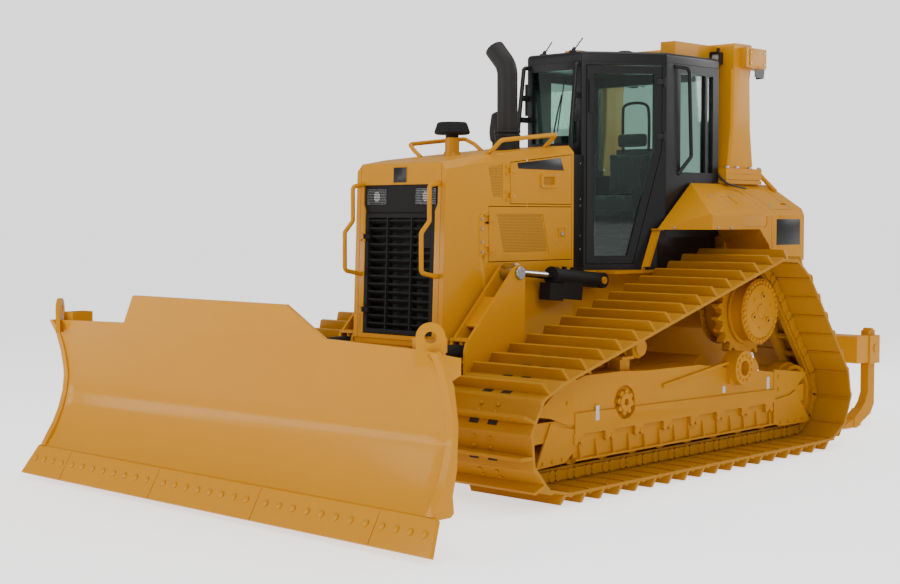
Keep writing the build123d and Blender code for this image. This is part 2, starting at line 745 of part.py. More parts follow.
with BuildPart() as cab_roof:
    with BuildSketch(Plane.XY.offset(cab_roof_z)) as roof:
        with BuildLine():
            Polyline(*cab_plan, close=True)
        make_face()
        fillet(roof.vertices(), cab_corner)
    extrude(roof.sketch, amount=roof_thickness)
    fillet(cab_roof.faces().sort_by(Axis.Z)[-1].edges(), roof_round)
    bar((-520, 330, cab_roof_z), (-520, 330, cab_roof_z + roof_thickness + 16), 84)
    bar((-520, 330, cab_roof_z), (-520, 330, cab_roof_z + roof_thickness + 27), 52)
save(cab_roof, "cab_roof")

with BuildPart() as cab_floor:
    with BuildSketch(Plane.XY.offset(cab_floor_z)) as floor_ring:
        with BuildLine():
            Polyline(*cab_plan, close=True)
        make_face()
        offset(amount=-cab_wall, mode=Mode.REPLACE)
    extrude(floor_ring.sketch, amount=40)
    block((-350, -110), (-180, 180), (cab_floor_z, 2350))
    for side, _ in SIDES:
        block((-1240, -640), y_span(side, 330, 560), (cab_floor_z, 2000))
save(cab_floor, "cab_floor")

with BuildPart() as cowl:
    plan_slab(((hood_rear[0] - 2, 428), (cab_front[0] + 2, 300), (cab_front[0] + 2, -300),
               (hood_rear[0] - 2, -428)), case_top_z, 2330)
    plan_slab(((hood_rear[0] + 10, 400), (cab_front[0] - 10, 270), (cab_front[0] - 10, -270),
               (hood_rear[0] + 10, -400)), case_top_z - 10, 2310, Mode.SUBTRACT)
save(cowl, "cowl")

with BuildPart() as cab_glass:
    for side, _ in SIDES:
        low, high = y_span(side, cab_side[1] - 28, cab_side[1] - 20)
        for front, back in side_windows:
            block((front, back), (low, high), (2210, 2980))
    block((cab_front[0] - 28, cab_front[0] - 20), (-cab_front[1] + 45, cab_front[1] - 45), (2430, 2990))
    block((cab_rear_x + 20, cab_rear_x + 28), (-520, 520), (2210, 2960))
save(cab_glass, "cab_glass")

with BuildPart() as seat:
    block((-1100, -600), (-250, 250), (1490, 1900))
    block((-1100, -600), (-250, 250), (1900, 2010))
    block((-1120, -980), (-240, 240), (2010, 2560))
save(seat, "seat")

with BuildPart() as cab_controls:
    for side, _ in SIDES:
        block((-980, -615), y_span(side, 335, 428), (2000, 2066))
        bar((-670, side * 382, 2060), (-655, side * 382, 2170), 12)
        bar((-655, side * 382, 2165), (-645, side * 382, 2248), 27)
    block((-300, -262), (-170, 40), (2350, 2500))
    bar((-560, 0, cab_roof_z - 22), (-560, 0, cab_roof_z), 92)
save(cab_controls, "cab_controls")

with BuildPart() as antennas:
    for x, y, lean in ((-95, 150, 60), (-150, -190, 52)):
        foot = cab_roof_z + roof_thickness
        bar((x, y, foot), (x, y, foot + 14), 30)
        bar((x, y, foot + 12), (x - lean / 3, y, foot + 34), 14)
        bar((x - lean / 3, y, foot + 24), (x - lean * 2, y, foot + 118), 5)
save(antennas, "antennas")

# ---------------------------------------------------------------- tanks and roll-over frame
tank_side = (
    (tank_rear_x, 1505), (tank_rear_x, 2120), (-900, 2128), (-450, 1762),
    (-1270, 1762), (-1410, 1635), (-1470, 1505),
)
tank_deck_z = 2128           # the flat inner part, where the roll-over frame's feet stand
tank_ridge = (tank_in, 2126)  # y and z where the sloped top starts; it falls to tank_edge
tank_edge = (tank_out, 1872)
for side, hand in SIDES:
    with BuildPart() as tank:
        side_slab(tank_side, *y_span(side, tank_in, tank_out))
        slope = (tank_edge[1] - tank_ridge[1]) / (tank_edge[0] - tank_ridge[0])
        front_slab(((side * tank_ridge[0], tank_ridge[1]), (side * tank_edge[0], tank_edge[1]),
                    (side * (tank_edge[0] + 50), tank_edge[1] + slope * 50),
                    (side * (tank_edge[0] + 50), 2300), (side * tank_ridge[0], 2300)),
                   tank_rear_x - 50, -300, Mode.SUBTRACT)
        plan_slab(((-445, side * (tank_in - 3)), (-610, side * (tank_out + 2)),
                   (-300, side * (tank_out + 2))),
                  1700, 2200, Mode.SUBTRACT)
        plan_slab(((tank_rear_x - 5, side * 1010), (tank_rear_x - 5, side * (tank_out + 5)),
                   (tank_rear_x + 110, side * (tank_out + 5))), 1450, 2200, Mode.SUBTRACT)
        low, high = y_span(side, 390, tank_in)
        block((tank_rear_x, cab_rear_x - 40), (low, high), (case_top_z, tank_deck_z))
        # panel seams over the top and down the side, cap recess and inspection plate
        top = Plane(origin=(-1300, side * tank_ridge[0], tank_ridge[1]), x_dir=(1, 0, 0),
                    z_dir=(0, side * -slope, 1))
        with BuildSketch(top) as seams:
            for x in (-145, -245):
                with Locations((x, side * 190)):
                    Rectangle(5, 520)
            with Locations((180, side * 250)):
                Rectangle(120, 110)
        extrude(seams.sketch, amount=-5, mode=Mode.SUBTRACT)
        with BuildSketch(top.offset(-5)) as cap:
            with Locations((190, side * 250)):
                Rectangle(78, 100)
        extrude(cap.sketch, amount=3)
        with BuildSketch(top) as lid:
            with Locations((-430, side * 225)):
                RectangleRounded(300, 330, 40)
            with Locations((-430, side * 225)):
                RectangleRounded(288, 318, 34, mode=Mode.SUBTRACT)
        extrude(lid.sketch, amount=-4, mode=Mode.SUBTRACT)
        with BuildSketch(top) as slot:
            with Locations((-560, side * 300)):
                SlotOverall(90, 26)
        extrude(slot.sketch, amount=-14, mode=Mode.SUBTRACT)
        for x in (-1445, -1545):
            block((x - 2.5, x + 2.5), y_span(side, tank_out - 4, tank_out + 5), (1500, 1900), Mode.SUBTRACT)
        side_slab(((-1030, 1868), (-1030, 1800), (-1050, 1782), (-1360, 1782), (-1380, 1800),
                   (-1380, 1868)),
                  *y_span(side, tank_out - 6, tank_out + 5), Mode.SUBTRACT)
        side_slab(((-1034, 1880), (-1034, 1802), (-1052, 1786), (-1358, 1786), (-1376, 1802),
                   (-1376, 1880)),
                  *y_span(side, tank_out - 20, tank_out - 3))
        # the strut down to the deck, and the deck
        side_slab(((-500, 1765), (-472, 1765), (-335, 1478), (-363, 1478)),
                  *y_span(side, tank_in - 60, tank_in))
        block((-500, -455), y_span(side, tank_in - 60, tank_in + 30), (1757, 1769))
        block((-365, -333), y_span(side, tank_in - 60, track_inner - 10), (case_top_z - 10, 1482))
        block((tank_rear_x + 30, 15), y_span(side, frame_half, track_inner - 10),
              (case_top_z - 20, case_top_z))
        # grab tube behind the roll-over frame's foot
        rail(((-1860, side * 650, 2232), (-1945, side * 650, 2232), (-1990, side * 800, 2070)), 19, 50)
    save(tank, f"side_tank_{hand}")

with BuildPart() as rear_tank:
    block((tank_rear_x + 60, cab_rear_x - 60), (-385, 385), (case_top_z, 2080))
    fillet(rear_tank.edges().filter_by(Axis.Y).sort_by(Axis.Z)[-2:], 40)
save(rear_tank, "rear_tank")

post_side = ((-1775, 2250), (-1392, 2250), (-1440, 2560), (-1450, 3065), (-1712, 3065), (-1732, 2560))
lamp_arm = (-1400, 3145)     # x and z of the forward lamps on the roll-over frame
with BuildPart() as rops_frame:
    for side, _ in SIDES:
        block((-1860, -1330), y_span(side, 500, 745), (tank_deck_z, 2158))
        block((-1850, -1340), y_span(side, 510, 735), (2156, 2164))
        block((-1860, -1330), y_span(side, 500, 745), (2162, 2206))
        block((-1856, -1334), y_span(side, 506, 741), (2204, 2210))
        block((-1860, -1330), y_span(side, 500, 745), (2208, 2254))
    for side, _ in SIDES:
        side_slab(post_side, *y_span(side, 570, 722))
    posts = rops_frame.edges().filter_by(lambda e: 2255 < e.center().Z < 3060 and e.length > 200)
    fillet(posts.filter_by(lambda e: abs(e.tangent_at(0.5).Z) > 0.9), 26)
    side_slab(((-1725, 3062), (-1450, 3062), (-1450, 3244), (-1474, 3268), (-1701, 3268), (-1725, 3244)),
              -730, 730)
    for side, _ in SIDES:
        block((-1460, -870), y_span(side, 420, 560), (cab_roof_z + roof_thickness + 2, 3250))
        side_slab(((-1690, 3080), (-1815, 3080), (-1752, 2790), (-1716, 2762), (-1690, 2800)),
                  *y_span(side, 632, 652))
        bar((-1722, side * 622, 2790), (-1722, side * 662, 2790), 30)
        block((-1845, -1545), y_span(side, 690, 790), (3078, 3236))
        block((-1800, -1590), y_span(side, 786, 796), (3090, 3224))
        bar((-1460, side * 610, 3145), (-1408, side * 610, 3145), 16)
save(rops_frame, "rops_frame")

with BuildPart() as work_lamps:
    for side, _ in SIDES:
        x, z = lamp_arm
        with BuildSketch(Plane(origin=(x - 8, side * 610, z), z_dir=(1, 0, 0))) as shell:
            RectangleRounded(104, 92, 14)
        extrude(shell.sketch, amount=62)
        block((x + 30, x + 60), (side * 610 - 40, side * 610 + 40), (z - 36, z + 36), Mode.SUBTRACT)
        bar((x - 5, side * 610, z + 20), (x - 5, side * 610, z + 84), 13)
        # rear lamp with its folded guard
        guard = ((-1725, 3218), (-2010, 3205), (-1975, 3012), (-1840, 3020), (-1840, 3070), (-1725, 3070))
        for low, high in ((540, 546), (679, 685)):
            side_slab(guard, *y_span(side, low, high))
        side_slab(((-1725, 3218), (-2010, 3205), (-2010, 3198), (-1725, 3211)), *y_span(side, 540, 685))
        side_slab(((-2010, 3205), (-1975, 3012), (-1968, 3012), (-2003, 3205)), *y_span(side, 610, 685))
        block((-1900, -1725), y_span(side, 570, 655), (3090, 3180))
save(work_lamps, "work_lamps")

# ---------------------------------------------------------------- track frames and drives
def off(side, low, high):
    """A span of y given as distances from the middle of one side's track."""
    return y_span(side, track_mid + low, track_mid + high)


def cross_bar(side, x, z, low, high, radius, mode=Mode.ADD):
    """A round bar across the machine between two distances from the middle of a track."""
    bar((x, side * (track_mid + low), z), (x, side * (track_mid + high), z), radius, mode)


beam_side = (
    (1240, 762), (1120, 792), (718, 792), (420, 775), (-232, 769), (-1272, 640), (-1272, beam_foot_z),
    (1240, beam_foot_z),
)
ledge_side = ((1240, 548), (-1272, 505), (-1272, beam_foot_z), (1240, beam_foot_z))
guard_plates = (
    ((1225, 800), (1290, 809), (1629, 574), (1629, 556), (1495, 536), (1305, 470), (1225, 470)),
    ((1485, 505), (1345, 458), (1225, 440), (1225, 300), (1345, 226), (1640, 212)),
    ((-1262, 660), (-1331, 652), (-1744, 605), (-1744, 590), (-1560, 480), (-1331, 440), (-1262, 440)),
    ((-1585, 470), (-1500, 440), (-1262, 420), (-1262, 232), (-1345, 205), (-1760, 200), (-1790, 235)),
)
guard_walls = (               # x, z of the folded walls' two ends
    ((1290, 809), (1629, 574)),
    ((-1331, 652), (-1744, 605)),
)
roller_z = grouser_height + chain_depth + link_low + 1 + roller_r
roller_places = [first_roller_x + roller_pitch * k for k in range(roller_count)]
chain_slope = atan2(sprocket_z + sprocket_r - idler_z - idler_wrap + chain_depth,
                    front_idler_x - sprocket_x)


def chain_z(x):
    """Height of the pin line's upper run at a place along the machine."""
    for a, b in zip(pin_line, pin_line[1:]):
        if a[0] <= x < b[0] and a[1] > idler_z:
            return a[1] + (b[1] - a[1]) * (x - a[0]) / (b[0] - a[0])
    return idler_z


carrier_x, carrier_r = carrier_place
carrier_z = chain_z(carrier_x) - (link_low + 1 + carrier_r) / cos(chain_slope)
for side, hand in SIDES:
    with BuildPart() as track_frame:
        side_slab(beam_side, *off(side, *beam_off))
        side_slab(ledge_side, *off(side, 100, ledge_off))
        side_slab(((235, 640), (-600, 748), (-600, 772), (235, 664)), *off(side, 150, ledge_off + 4))
        # bearing caps between the ribs and the roller guards under them
        for reach in (1, -1):
            low, high = sorted((reach * skirt_off[0], reach * skirt_off[1]))
            side_slab(((1235, beam_foot_z + 5), (-1268, beam_foot_z + 5), (-1268, skirt_foot_z),
                       (1235, skirt_foot_z)), *off(side, low, high))
            low, high = sorted((reach * skirt_off[0], reach * skirt_flange))
            block((-1268, 1235), off(side, low, high), (skirt_foot_z - 12, skirt_foot_z + 2))
        rib_pitch = 2380 / (rib_count - 1)
        for k in range(rib_count):
            x = -1205 + rib_pitch * k
            y_in, y_out = side * (track_mid + skirt_off[1] - 2), side * (track_mid + skirt_flange - 2)
            front_slab(((y_in, 350), (y_in, skirt_foot_z), (y_out, skirt_foot_z),
                        (side * (track_mid + skirt_off[1] + 6), 350)), x - 7, x + 7)
        for x in roller_places:
            block((x - 52, x + 52), off(side, skirt_off[1] - 2, ledge_off), (352, beam_foot_z + 5))
            for shift in (-33, 33):
                cross_bar(side, x + shift, 356, skirt_off[1] - 2, ledge_off + 3, 22)
        # idler yokes and folded guards
        for ends in ((1180, front_idler_x + 55), (rear_idler_x - 55, -1220)):
            for reach in (1, -1):
                low, high = sorted((reach * yoke_off[0], reach * yoke_off[1]))
                block(ends, off(side, low, high), (idler_z - 60, idler_z + 75))
        for plate in guard_plates:
            side_slab(plate, *off(side, yoke_off[1] - 2, yoke_off[1] + 12))
        for start, end in guard_walls:
            wall = (start, end, (end[0], end[1] - 14), (start[0], start[1] - 14))
            side_slab(wall, *off(side, 118, yoke_off[1] + 12))
        # pivot boss, with its foot, and the bolted cover in its recess
        cross_bar(side, *pivot_place, 120, 248, pivot_r)
        side_slab(((-838, 600), (-602, 600), (-602, 715), (-838, 715)), *off(side, 140, 196))
        cross_bar(side, *pivot_place, 190, 253, 58, Mode.SUBTRACT)
        cross_bar(side, *cover_place, beam_off[1] - 22, ledge_off + 10, cover_r, Mode.SUBTRACT)
        cross_bar(side, *cover_place, beam_off[1] - 24, ledge_off + 6, 62)
        for k in range(8):
            a = radians(45 * k + 10)
            cross_bar(side, cover_place[0] + 70 * cos(a), cover_place[1] + 70 * sin(a),
                      beam_off[1] - 24, ledge_off, 21)
        cross_bar(side, *cover_place, beam_off[1] - 10, ledge_off + 10, 24, Mode.SUBTRACT)
        # lifting hook, carrier roller and its brackets
        middle = side * (track_mid + 140)
        rail(((1215, middle, 760), (1190, middle, 850), (1075, middle, 858), (1040, middle, 775)), 17, 34)
        block((carrier_x - 45, carrier_x + 45), off(side, -168, -128), (600, carrier_z + 45))
        cross_bar(side, carrier_x, carrier_z, -168, 122, 34)
        block((carrier_x + 115, carrier_x + 225), off(side, 30, 120), (760, 868))
        block((carrier_x + 100, carrier_x + 240), off(side, 10, 150), (868, 886))
    save(track_frame, f"track_frame_{hand}")

roller_outline = (
    (-137.4, 0), (-137.4, 40), (-120, 40), (-114, roller_r), (-56, roller_r), (-50, roller_r + 16),
    (50, roller_r + 16), (56, roller_r), (114, roller_r), (120, 40), (137.4, 40), (137.4, 0),
)
carrier_outline = (
    (-112, 34 + pin_gap), (-112, carrier_r), (-56, carrier_r), (-50, carrier_r + 14), (50, carrier_r + 14),
    (56, carrier_r), (112, carrier_r), (126, carrier_r - 16), (140, carrier_r - 16), (140, 0),
    (124, 0), (124, 34 + pin_gap),
)
with BuildPart() as rollers:
    for side, _ in SIDES:
        for x in roller_places:
            turned(x, roller_z, [(side * (track_mid + y), r) for y, r in roller_outline])
        turned(carrier_x, carrier_z, [(side * (track_mid + y), r) for y, r in carrier_outline])
save(rollers, "rollers")

drive_outline = (
    (-180, 0), (-180, 235), (-50, 235), (-50, 150), (40, 150), (40, 262), (58, 262), (58, 236),
    (148, 236), (148, 252), (168, 252), (168, 212), (180, 205), (180, 0),
)
with BuildPart() as final_drives:
    for side, _ in SIDES:
        turned(sprocket_x, sprocket_z, [(side * (track_mid + y), r) for y, r in drive_outline])
        bar((sprocket_x, side * frame_half, sprocket_z), (sprocket_x, side * 902, sprocket_z), 160)
        bar((sprocket_x, side * 872, sprocket_z), (sprocket_x, side * 892, sprocket_z), 275)
        cross_bar(side, sprocket_x, sprocket_z, 176, 181, 62, Mode.SUBTRACT)
        cross_bar(side, sprocket_x, sprocket_z, 170, 181, 54)
save(final_drives, "final_drives")

first_space = atan2(pin_line[0][1] - sprocket_z, pin_line[0][0] - sprocket_x)
tooth_sides = ((-1, 40, tooth_tip), (-1, 18, -30), (1, 18, -30), (1, 40, tooth_tip))
with BuildPart() as sprockets:
    rim = []
    for k in range(teeth):
        space = first_space - 2 * pi * k / teeth
        for turn, half_width, height in tooth_sides:
            a = space - turn * half_width / (sprocket_r + height)
            rim.append((sprocket_x + (sprocket_r + height) * cos(a),
                        sprocket_z + (sprocket_r + height) * sin(a)))
    for side, _ in SIDES:
        side_slab(rim, *off(side, -sprocket_off, sprocket_off))
        cross_bar(side, sprocket_x, sprocket_z, -sprocket_off - gap, sprocket_off + gap, 151, Mode.SUBTRACT)
save(sprockets, "sprockets")

# ---------------------------------------------------------------- blade arms
cross_x = (1950, 2600)
nose_half = 130
arm_z = (trunnion[1] - 110, trunnion[1] + 110)
with BuildPart() as c_frame:
    for side, _ in SIDES:
        plan_slab(((trunnion[0], side * arm_in), (trunnion[0], side * arm_out),
                   (cross_x[0], side * arm_out), (cross_x[1], side * nose_half),
                   (cross_x[1] - 90, side * nose_half), (cross_x[0], side * arm_in)), *arm_z)
        bar((trunnion[0], side * arm_in, trunnion[1]), (trunnion[0], side * arm_out, trunnion[1]), 150)
    block((cross_x[0] + 150, cross_x[1]), (-nose_half - 90, nose_half + 90), arm_z)
    bar((swivel_x, 0, arm_z[0]), (swivel_x, 0, arm_z[1]), 150)
    block((cross_x[1] - 10, swivel_x), (-nose_half, nose_half), arm_z)
    bar((trunnion[0], -700, trunnion[1]), (trunnion[0], 700, trunnion[1]), 60 + pin_gap, Mode.SUBTRACT)
    bar((swivel_x, 0, 400), (swivel_x, 0, 900), 70 + pin_gap, Mode.SUBTRACT)
    # towers: two plates a side, joined by a sloping web, with the lift rod's pin through both
    tower_side = (
        (tower_pin[0] - 62, tower_pin[1] - 10), (tower_pin[0] - 40, tower_pin[1] + 44),
        (tower_pin[0] + 5, tower_pin[1] + 60), (tower_pin[0] + 48, tower_pin[1] + 38),
        (1635, 1010), (1655, 950), (1655, arm_z[1] - 10), (1040, arm_z[1] - 10),
    )
    for side, _ in SIDES:
        for low, high in ((480, 503), (617, 640)):
            side_slab(tower_side, *y_span(side, low, high))
        side_slab(((1290, 1290), (1310, 1305), (1500, 1110), (1480, 1095)), *y_span(side, 490, 630))
        bar((tower_pin[0], side * 480, tower_pin[1]), (tower_pin[0], side * 648, tower_pin[1]), 25)
        bar((angle_foot[0], side * angle_foot[1], angle_z - 75),
            (angle_foot[0], side * angle_foot[1], angle_z + 75), 22)
        for low, high in ((angle_z - 85, angle_z - 65), (angle_z + 65, angle_z + 85)):
            block((angle_foot[0] - 40, angle_foot[0] + 40), y_span(side, 480, 630), (low, high))
save(c_frame, "c_frame")


def cylinder_pair(name, hand, foot, lug, bore_r, rod_r, eye_r, pins, slack, shift, closing, axis, width,
                  fittings=()):
    """A barrel and a rod between two pins (radii at foot and lug).

    The rod's eye keeps slack round its pin, and its centre rests a small shift from the pin's.
    The rod slides in by closing from where it rests. Fittings are blocks on the barrel, each given
    by its (low, high) along the barrel, its (low, high) below the axis and its half width.
    """
    foot_pin, lug_pin = pins
    foot = Vector(*foot)
    lug = Vector(*lug) + Vector(*shift)
    run = (lug - foot).normalized()
    length = (lug - foot).length
    half = axis * (width / 2)
    barrel_end = foot + run * (length * barrel_share)
    bore_foot = foot + run * (foot_pin + foot_eye + bore_floor)
    with BuildPart() as barrel:
        bar(foot + run * (foot_pin + foot_eye - 8), barrel_end, bore_r)
        bar(foot - half, foot + half, foot_pin + foot_eye)
        bar(barrel_end - run * 60, barrel_end, bore_r + 10)
        for (start, end), (high, low), half_width in fittings:
            with BuildSketch(Plane(origin=foot - axis * half_width, x_dir=run, z_dir=axis)) as fitting:
                with Locations(((start + end) / 2, (high + low) / 2)):
                    Rectangle(end - start, low - high)
            extrude(fitting.sketch, amount=2 * half_width)
        bar(foot - half * 1.2, foot + half * 1.2, foot_pin + pin_gap, Mode.SUBTRACT)
        bar(bore_foot, barrel_end + run * 5, rod_r + bore_gap, Mode.SUBTRACT)
    save(barrel, f"{name}_barrel{hand}")
    with BuildPart() as rod:
        bar(bore_foot + run * (closing + gap), lug - run * (eye_r * 0.8), rod_r)
        bar(lug - half, lug + half, eye_r)
        bar(lug - half * 1.2, lug + half * 1.2, lug_pin + slack, Mode.SUBTRACT)
    save(rod, f"{name}_rod{hand}")


lift_fittings = (
    ((240, 470), (30, 160), 46), ((462, 618), (52, 176), 50),
    ((196, 224), (-76, -40), 14), ((300, 328), (-76, -40), 14), ((398, 426), (-76, -40), 14),
)
for side, hand in SIDES:
    cylinder_pair(
        "lift", f"_{hand}", (lift_foot[0], side * 560, lift_foot[1]),
        (tower_pin[0], side * 560, tower_pin[1]), 58, 28, 62, (28, 25), 14,
        (-1.5, 0, 6.1), 262, Vector(0, 1, 0), 104, lift_fittings,
    )
    cylinder_pair(
        "angle", f"_{hand}", (angle_foot[0], side * angle_foot[1], angle_z),
        (angle_lug[0], side * angle_lug[1], angle_z), 46, 25, 56, (22, 18), 21,
        (-6.2, side * -14.6, 0), 181, Vector(0, 0, 1), 80,
    )

with BuildPart() as blade_swivel:
    bar((swivel_x, 0, arm_z[0] - 60), (swivel_x, 0, arm_z[1] + 60), 70)
    for low, high in ((arm_z[0] - 60, arm_z[0] - gap), (arm_z[1] + gap, arm_z[1] + 60)):
        plan_slab(((swivel_x - 90, -120), (swivel_x + 170, -200), (swivel_x + 170, 200),
                   (swivel_x - 90, 120)), low, high)
    block((swivel_x + 155, swivel_x + 215), (-200, 200), (arm_z[0] - 60, arm_z[1] + 60))
    block((swivel_x + 60, swivel_x + 215), (-angle_lug[1] - 40, angle_lug[1] + 40),
          (arm_z[1] + 60, arm_z[1] + 120))
    for side, _ in SIDES:
        x, y = angle_lug
        for low, high in ((angle_z - 75, angle_z - 45), (angle_z + 45, angle_z + 75)):
            block((x - 35, x + 62), y_span(side, y - 92, y + 45), (low, high))
        block((x - 35, x + 55), y_span(side, y - 92, y - 77), (arm_z[1] + 100, angle_z + 75))
        bar((x, side * y, angle_z - 75), (x, side * y, angle_z + 75), 18)
    bar((swivel_x + 200, 0, tilt_axis_z), (swivel_x + 300, 0, tilt_axis_z), 80)
    block((swivel_x + 160, swivel_x + 215), (tilt_foot_y - 22, tilt_foot_y + 60),
          (arm_z[1] + 100, tilt_z + 60))
    bar((swivel_x + 200, tilt_foot_y, tilt_z), (tilt_x + 45, tilt_foot_y, tilt_z), 22)
save(blade_swivel, "blade_swivel")

cylinder_pair(
    "tilt", "", (tilt_x, tilt_foot_y, tilt_z), (tilt_x, tilt_lug_y, tilt_z),
    42, 22, 50, (22, 22), 3, (0, -0.5, 0), 49, Vector(1, 0, 0), 60,
)

# ---------------------------------------------------------------- blade
def blade_front(inset, foot_z):
    """The blade's outline seen from the front, drawn in from its ends by inset."""
    half = [
        (blade_half - inset, foot_z), (blade_half - inset, blade_foot[1]),
        (blade_half - blade_lean - inset, shoulder_z), (crown[1], shoulder_z + 20),
        (crown[0], blade_top[1]),
    ]
    return half + [(-y, z) for y, z in reversed(half)]


blade_depth = (blade_top[0] - 420, blade_top[0] + 60)
face_points = ((3248, 1125), (3196, 1037), (3157, 912), (3134, 795), (3127, 723), (3137, 615),
               (3171, 495), (3214, 398), (3264, 317), blade_foot)
with BuildPart() as end_strips:
    side_slab([(x + strip_height, z) for x, z in face_points]
              + [(x - strip_height, z) for x, z in reversed(face_points)], -blade_half, blade_half)
    front_slab(blade_front(0, blade_low[1]), *blade_depth, Mode.INTERSECT)
    front_slab(blade_front(strip_width, blade_low[1] - gap), *blade_depth, Mode.SUBTRACT)

rib_places = (420, 900, 1330, 1720)
with BuildPart() as blade:
    with BuildSketch(Plane.XZ.offset(-blade_half)) as mould:
        with BuildLine():
            face_low = ThreePointArc(blade_foot, (3173, 495), blade_belly)
            face_high = ThreePointArc(blade_belly, (3160, 912), (3252, shoulder_z))
            face_top = Line((3252, shoulder_z), blade_top)
            back_top = Line(blade_top, (blade_top[0] - blade_plate, blade_top[1] + 8))
            back_high = Line(back_top @ 1, (3252 - blade_plate, shoulder_z + 12))
            back_bend = Line(back_high @ 1, (3122, 930))
            back_mid = Line((3122, 930), (3098, 720))
            back_low = Line((3098, 720), (3110, 590))
            back_in = Line((3110, 590), (3040, 470))
            back_box = Line((3040, 470), (3040, 330))
            back_foot = Line((3040, 330), (3180, 215))
            foot_line = Line((3180, 215), blade_low)
            foot_close = Line(blade_low, blade_foot)
        make_face()
    extrude(mould.sketch, amount=2 * blade_half)
    front_slab(blade_front(0, blade_low[1] - gap), *blade_depth, Mode.INTERSECT)
    add(end_strips.part)
    for side, _ in SIDES:
        # top box, upright ribs and the pad behind each lifting eye
        side_slab(((3130, 955), (3050, 985), (3050, 1080), (3212, 1112), (3230, 1100)),
                  *y_span(side, 480, blade_half - blade_lean - 8))
        for y in rib_places:
            side_slab(((3110, 440), (3060, 470), (3035, 700), (3060, 1000), (3150, 1000), (3120, 720)),
                      *y_span(side, y, y + 18))
        low, high = y_span(side, blade_half - 260, blade_half - 150)
        block((3050, 3215), (low, high), (1105, 1190))
        block((3060, 3205), (low + 10, high - 10), (1125, 1200), Mode.SUBTRACT)
    bar((swivel_x + 235, 0, tilt_axis_z), (3120, 0, tilt_axis_z), 130)
    bar((swivel_x + 200, 0, tilt_axis_z), (swivel_x + 305, 0, tilt_axis_z), 80 + pin_gap, Mode.SUBTRACT)
    for low, high in ((tilt_x - 62, tilt_x - 40), (tilt_x + 40, tilt_x + 62)):
        block((low, high), (tilt_lug_y - 45, tilt_lug_y + 45), (tilt_z - 60, tilt_z + 60))
    block((tilt_x - 62, 3140), (tilt_lug_y - 45, tilt_lug_y + 45), (tilt_z - 110, tilt_z - 58))
    block((tilt_x + 40, 3150), (tilt_lug_y - 45, tilt_lug_y + 45), (tilt_z - 110, tilt_z + 20))
    bar((tilt_x - 62, tilt_lug_y, tilt_z), (tilt_x + 62, tilt_lug_y, tilt_z), 22)
    for side, _ in SIDES:
        eye = Plane(origin=(3222, side * (blade_half - 113), shoulder_z + 72),
                    x_dir=(side * -0.7071, 0.7071, 0), z_dir=(0.7071, side * 0.7071, 0))
        with BuildSketch(eye.offset(-15)) as lifting_eye:
            Circle(82)
            with Locations((0, -80)):
                Rectangle(164, 160)
            Circle(33, mode=Mode.SUBTRACT)
        extrude(lifting_eye.sketch, amount=30)
save(blade, "blade")

seam = 3                     # the cutting edge's pieces meet in grooves this wide
seam_depth = 6
with BuildPart() as cutting_edge:
    side_slab((blade_low, blade_foot, (blade_foot[0] + 15, blade_foot[1] - 7),
               (blade_foot[0] + 122, edge_tip_z + 12), (blade_foot[0] + 101, edge_tip_z)),
              -edge_half, edge_half)
    front_slab(((-edge_half, edge_tip_z), (edge_half, edge_tip_z),
                (edge_top_half, blade_foot[1]), (-edge_top_half, blade_foot[1])),
               blade_low[0] - gap, blade_foot[0] + 130, Mode.INTERSECT)
    for y in (-end_bit_y, -end_bit_y / 3, end_bit_y / 3, end_bit_y):
        side_slab(((blade_foot[0] + 15 - seam_depth, blade_foot[1]), (blade_foot[0] + 25, blade_foot[1]),
                   (blade_foot[0] + 132, edge_tip_z), (blade_foot[0] + 122 - seam_depth, edge_tip_z + 2)),
                  y - seam, y + seam, Mode.SUBTRACT)
save(cutting_edge, "cutting_edge")

# ---------------------------------------------------------------- ripper
low_front = Vector(ripper_low[0], 0, ripper_low[1])
high_front = low_front + Vector(0, 0, ripper_high_rise)
link = Vector(ripper_link[0], 0, ripper_link[1])
low_rear = low_front + link
high_rear = high_front + link
pin_r = 30
link_y = (300, 360)

with BuildPart() as ripper_bracket:
    block((-1990, frame_rear_x), (-400, 400), (belly_z + 20, 1050))
    for side, _ in SIDES:
        for low, high in ((240, 290), (370, 420)):
            side_slab(((-1990, 440), (ripper_low[0] - 60, 440), (ripper_low[0] - 60, 920), (-1990, 1040)),
                      *y_span(side, low, high))
        for z in (low_front.Z, high_front.Z):
            bar((ripper_low[0], side * 240, z), (ripper_low[0], side * 420, z), pin_r)
    for low, high in ((-95, -70), (70, 95)):
        side_slab(((-1990, 800), (ripper_low[0] - 60, 800), (ripper_low[0] - 60, 920), (-1990, 1040)),
                  low, high)
    bar((ripper_low[0], -95, high_front.Z), (ripper_low[0], 95, high_front.Z), 28)
save(ripper_bracket, "ripper_bracket")


def link_bars(front, rear, name):
    """Two equal links, left and right, between a front and a rear pin line."""
    run = (rear - front).normalized()
    with BuildPart() as links_pair:
        for side, _ in SIDES:
            low, high = y_span(side, *link_y)
            middle = Vector(0, (low + high) / 2, 0)
            for end in (front, rear):
                bar(end + Vector(0, low, 0), end + Vector(0, high, 0), 65)
            with BuildSketch(Plane(origin=front + middle + run * 30, x_dir=(0, 1, 0),
                                   z_dir=run)) as section:
                Rectangle(high - low, 100)
            extrude(section.sketch, amount=(rear - front).length - 60)
            for end in (front, rear):
                bar(end + Vector(0, low - 5, 0), end + Vector(0, high + 5, 0), pin_r + pin_gap,
                    Mode.SUBTRACT)
    save(links_pair, name)


link_bars(low_front, low_rear, "ripper_low_links")
link_bars(high_front, high_rear, "ripper_high_links")

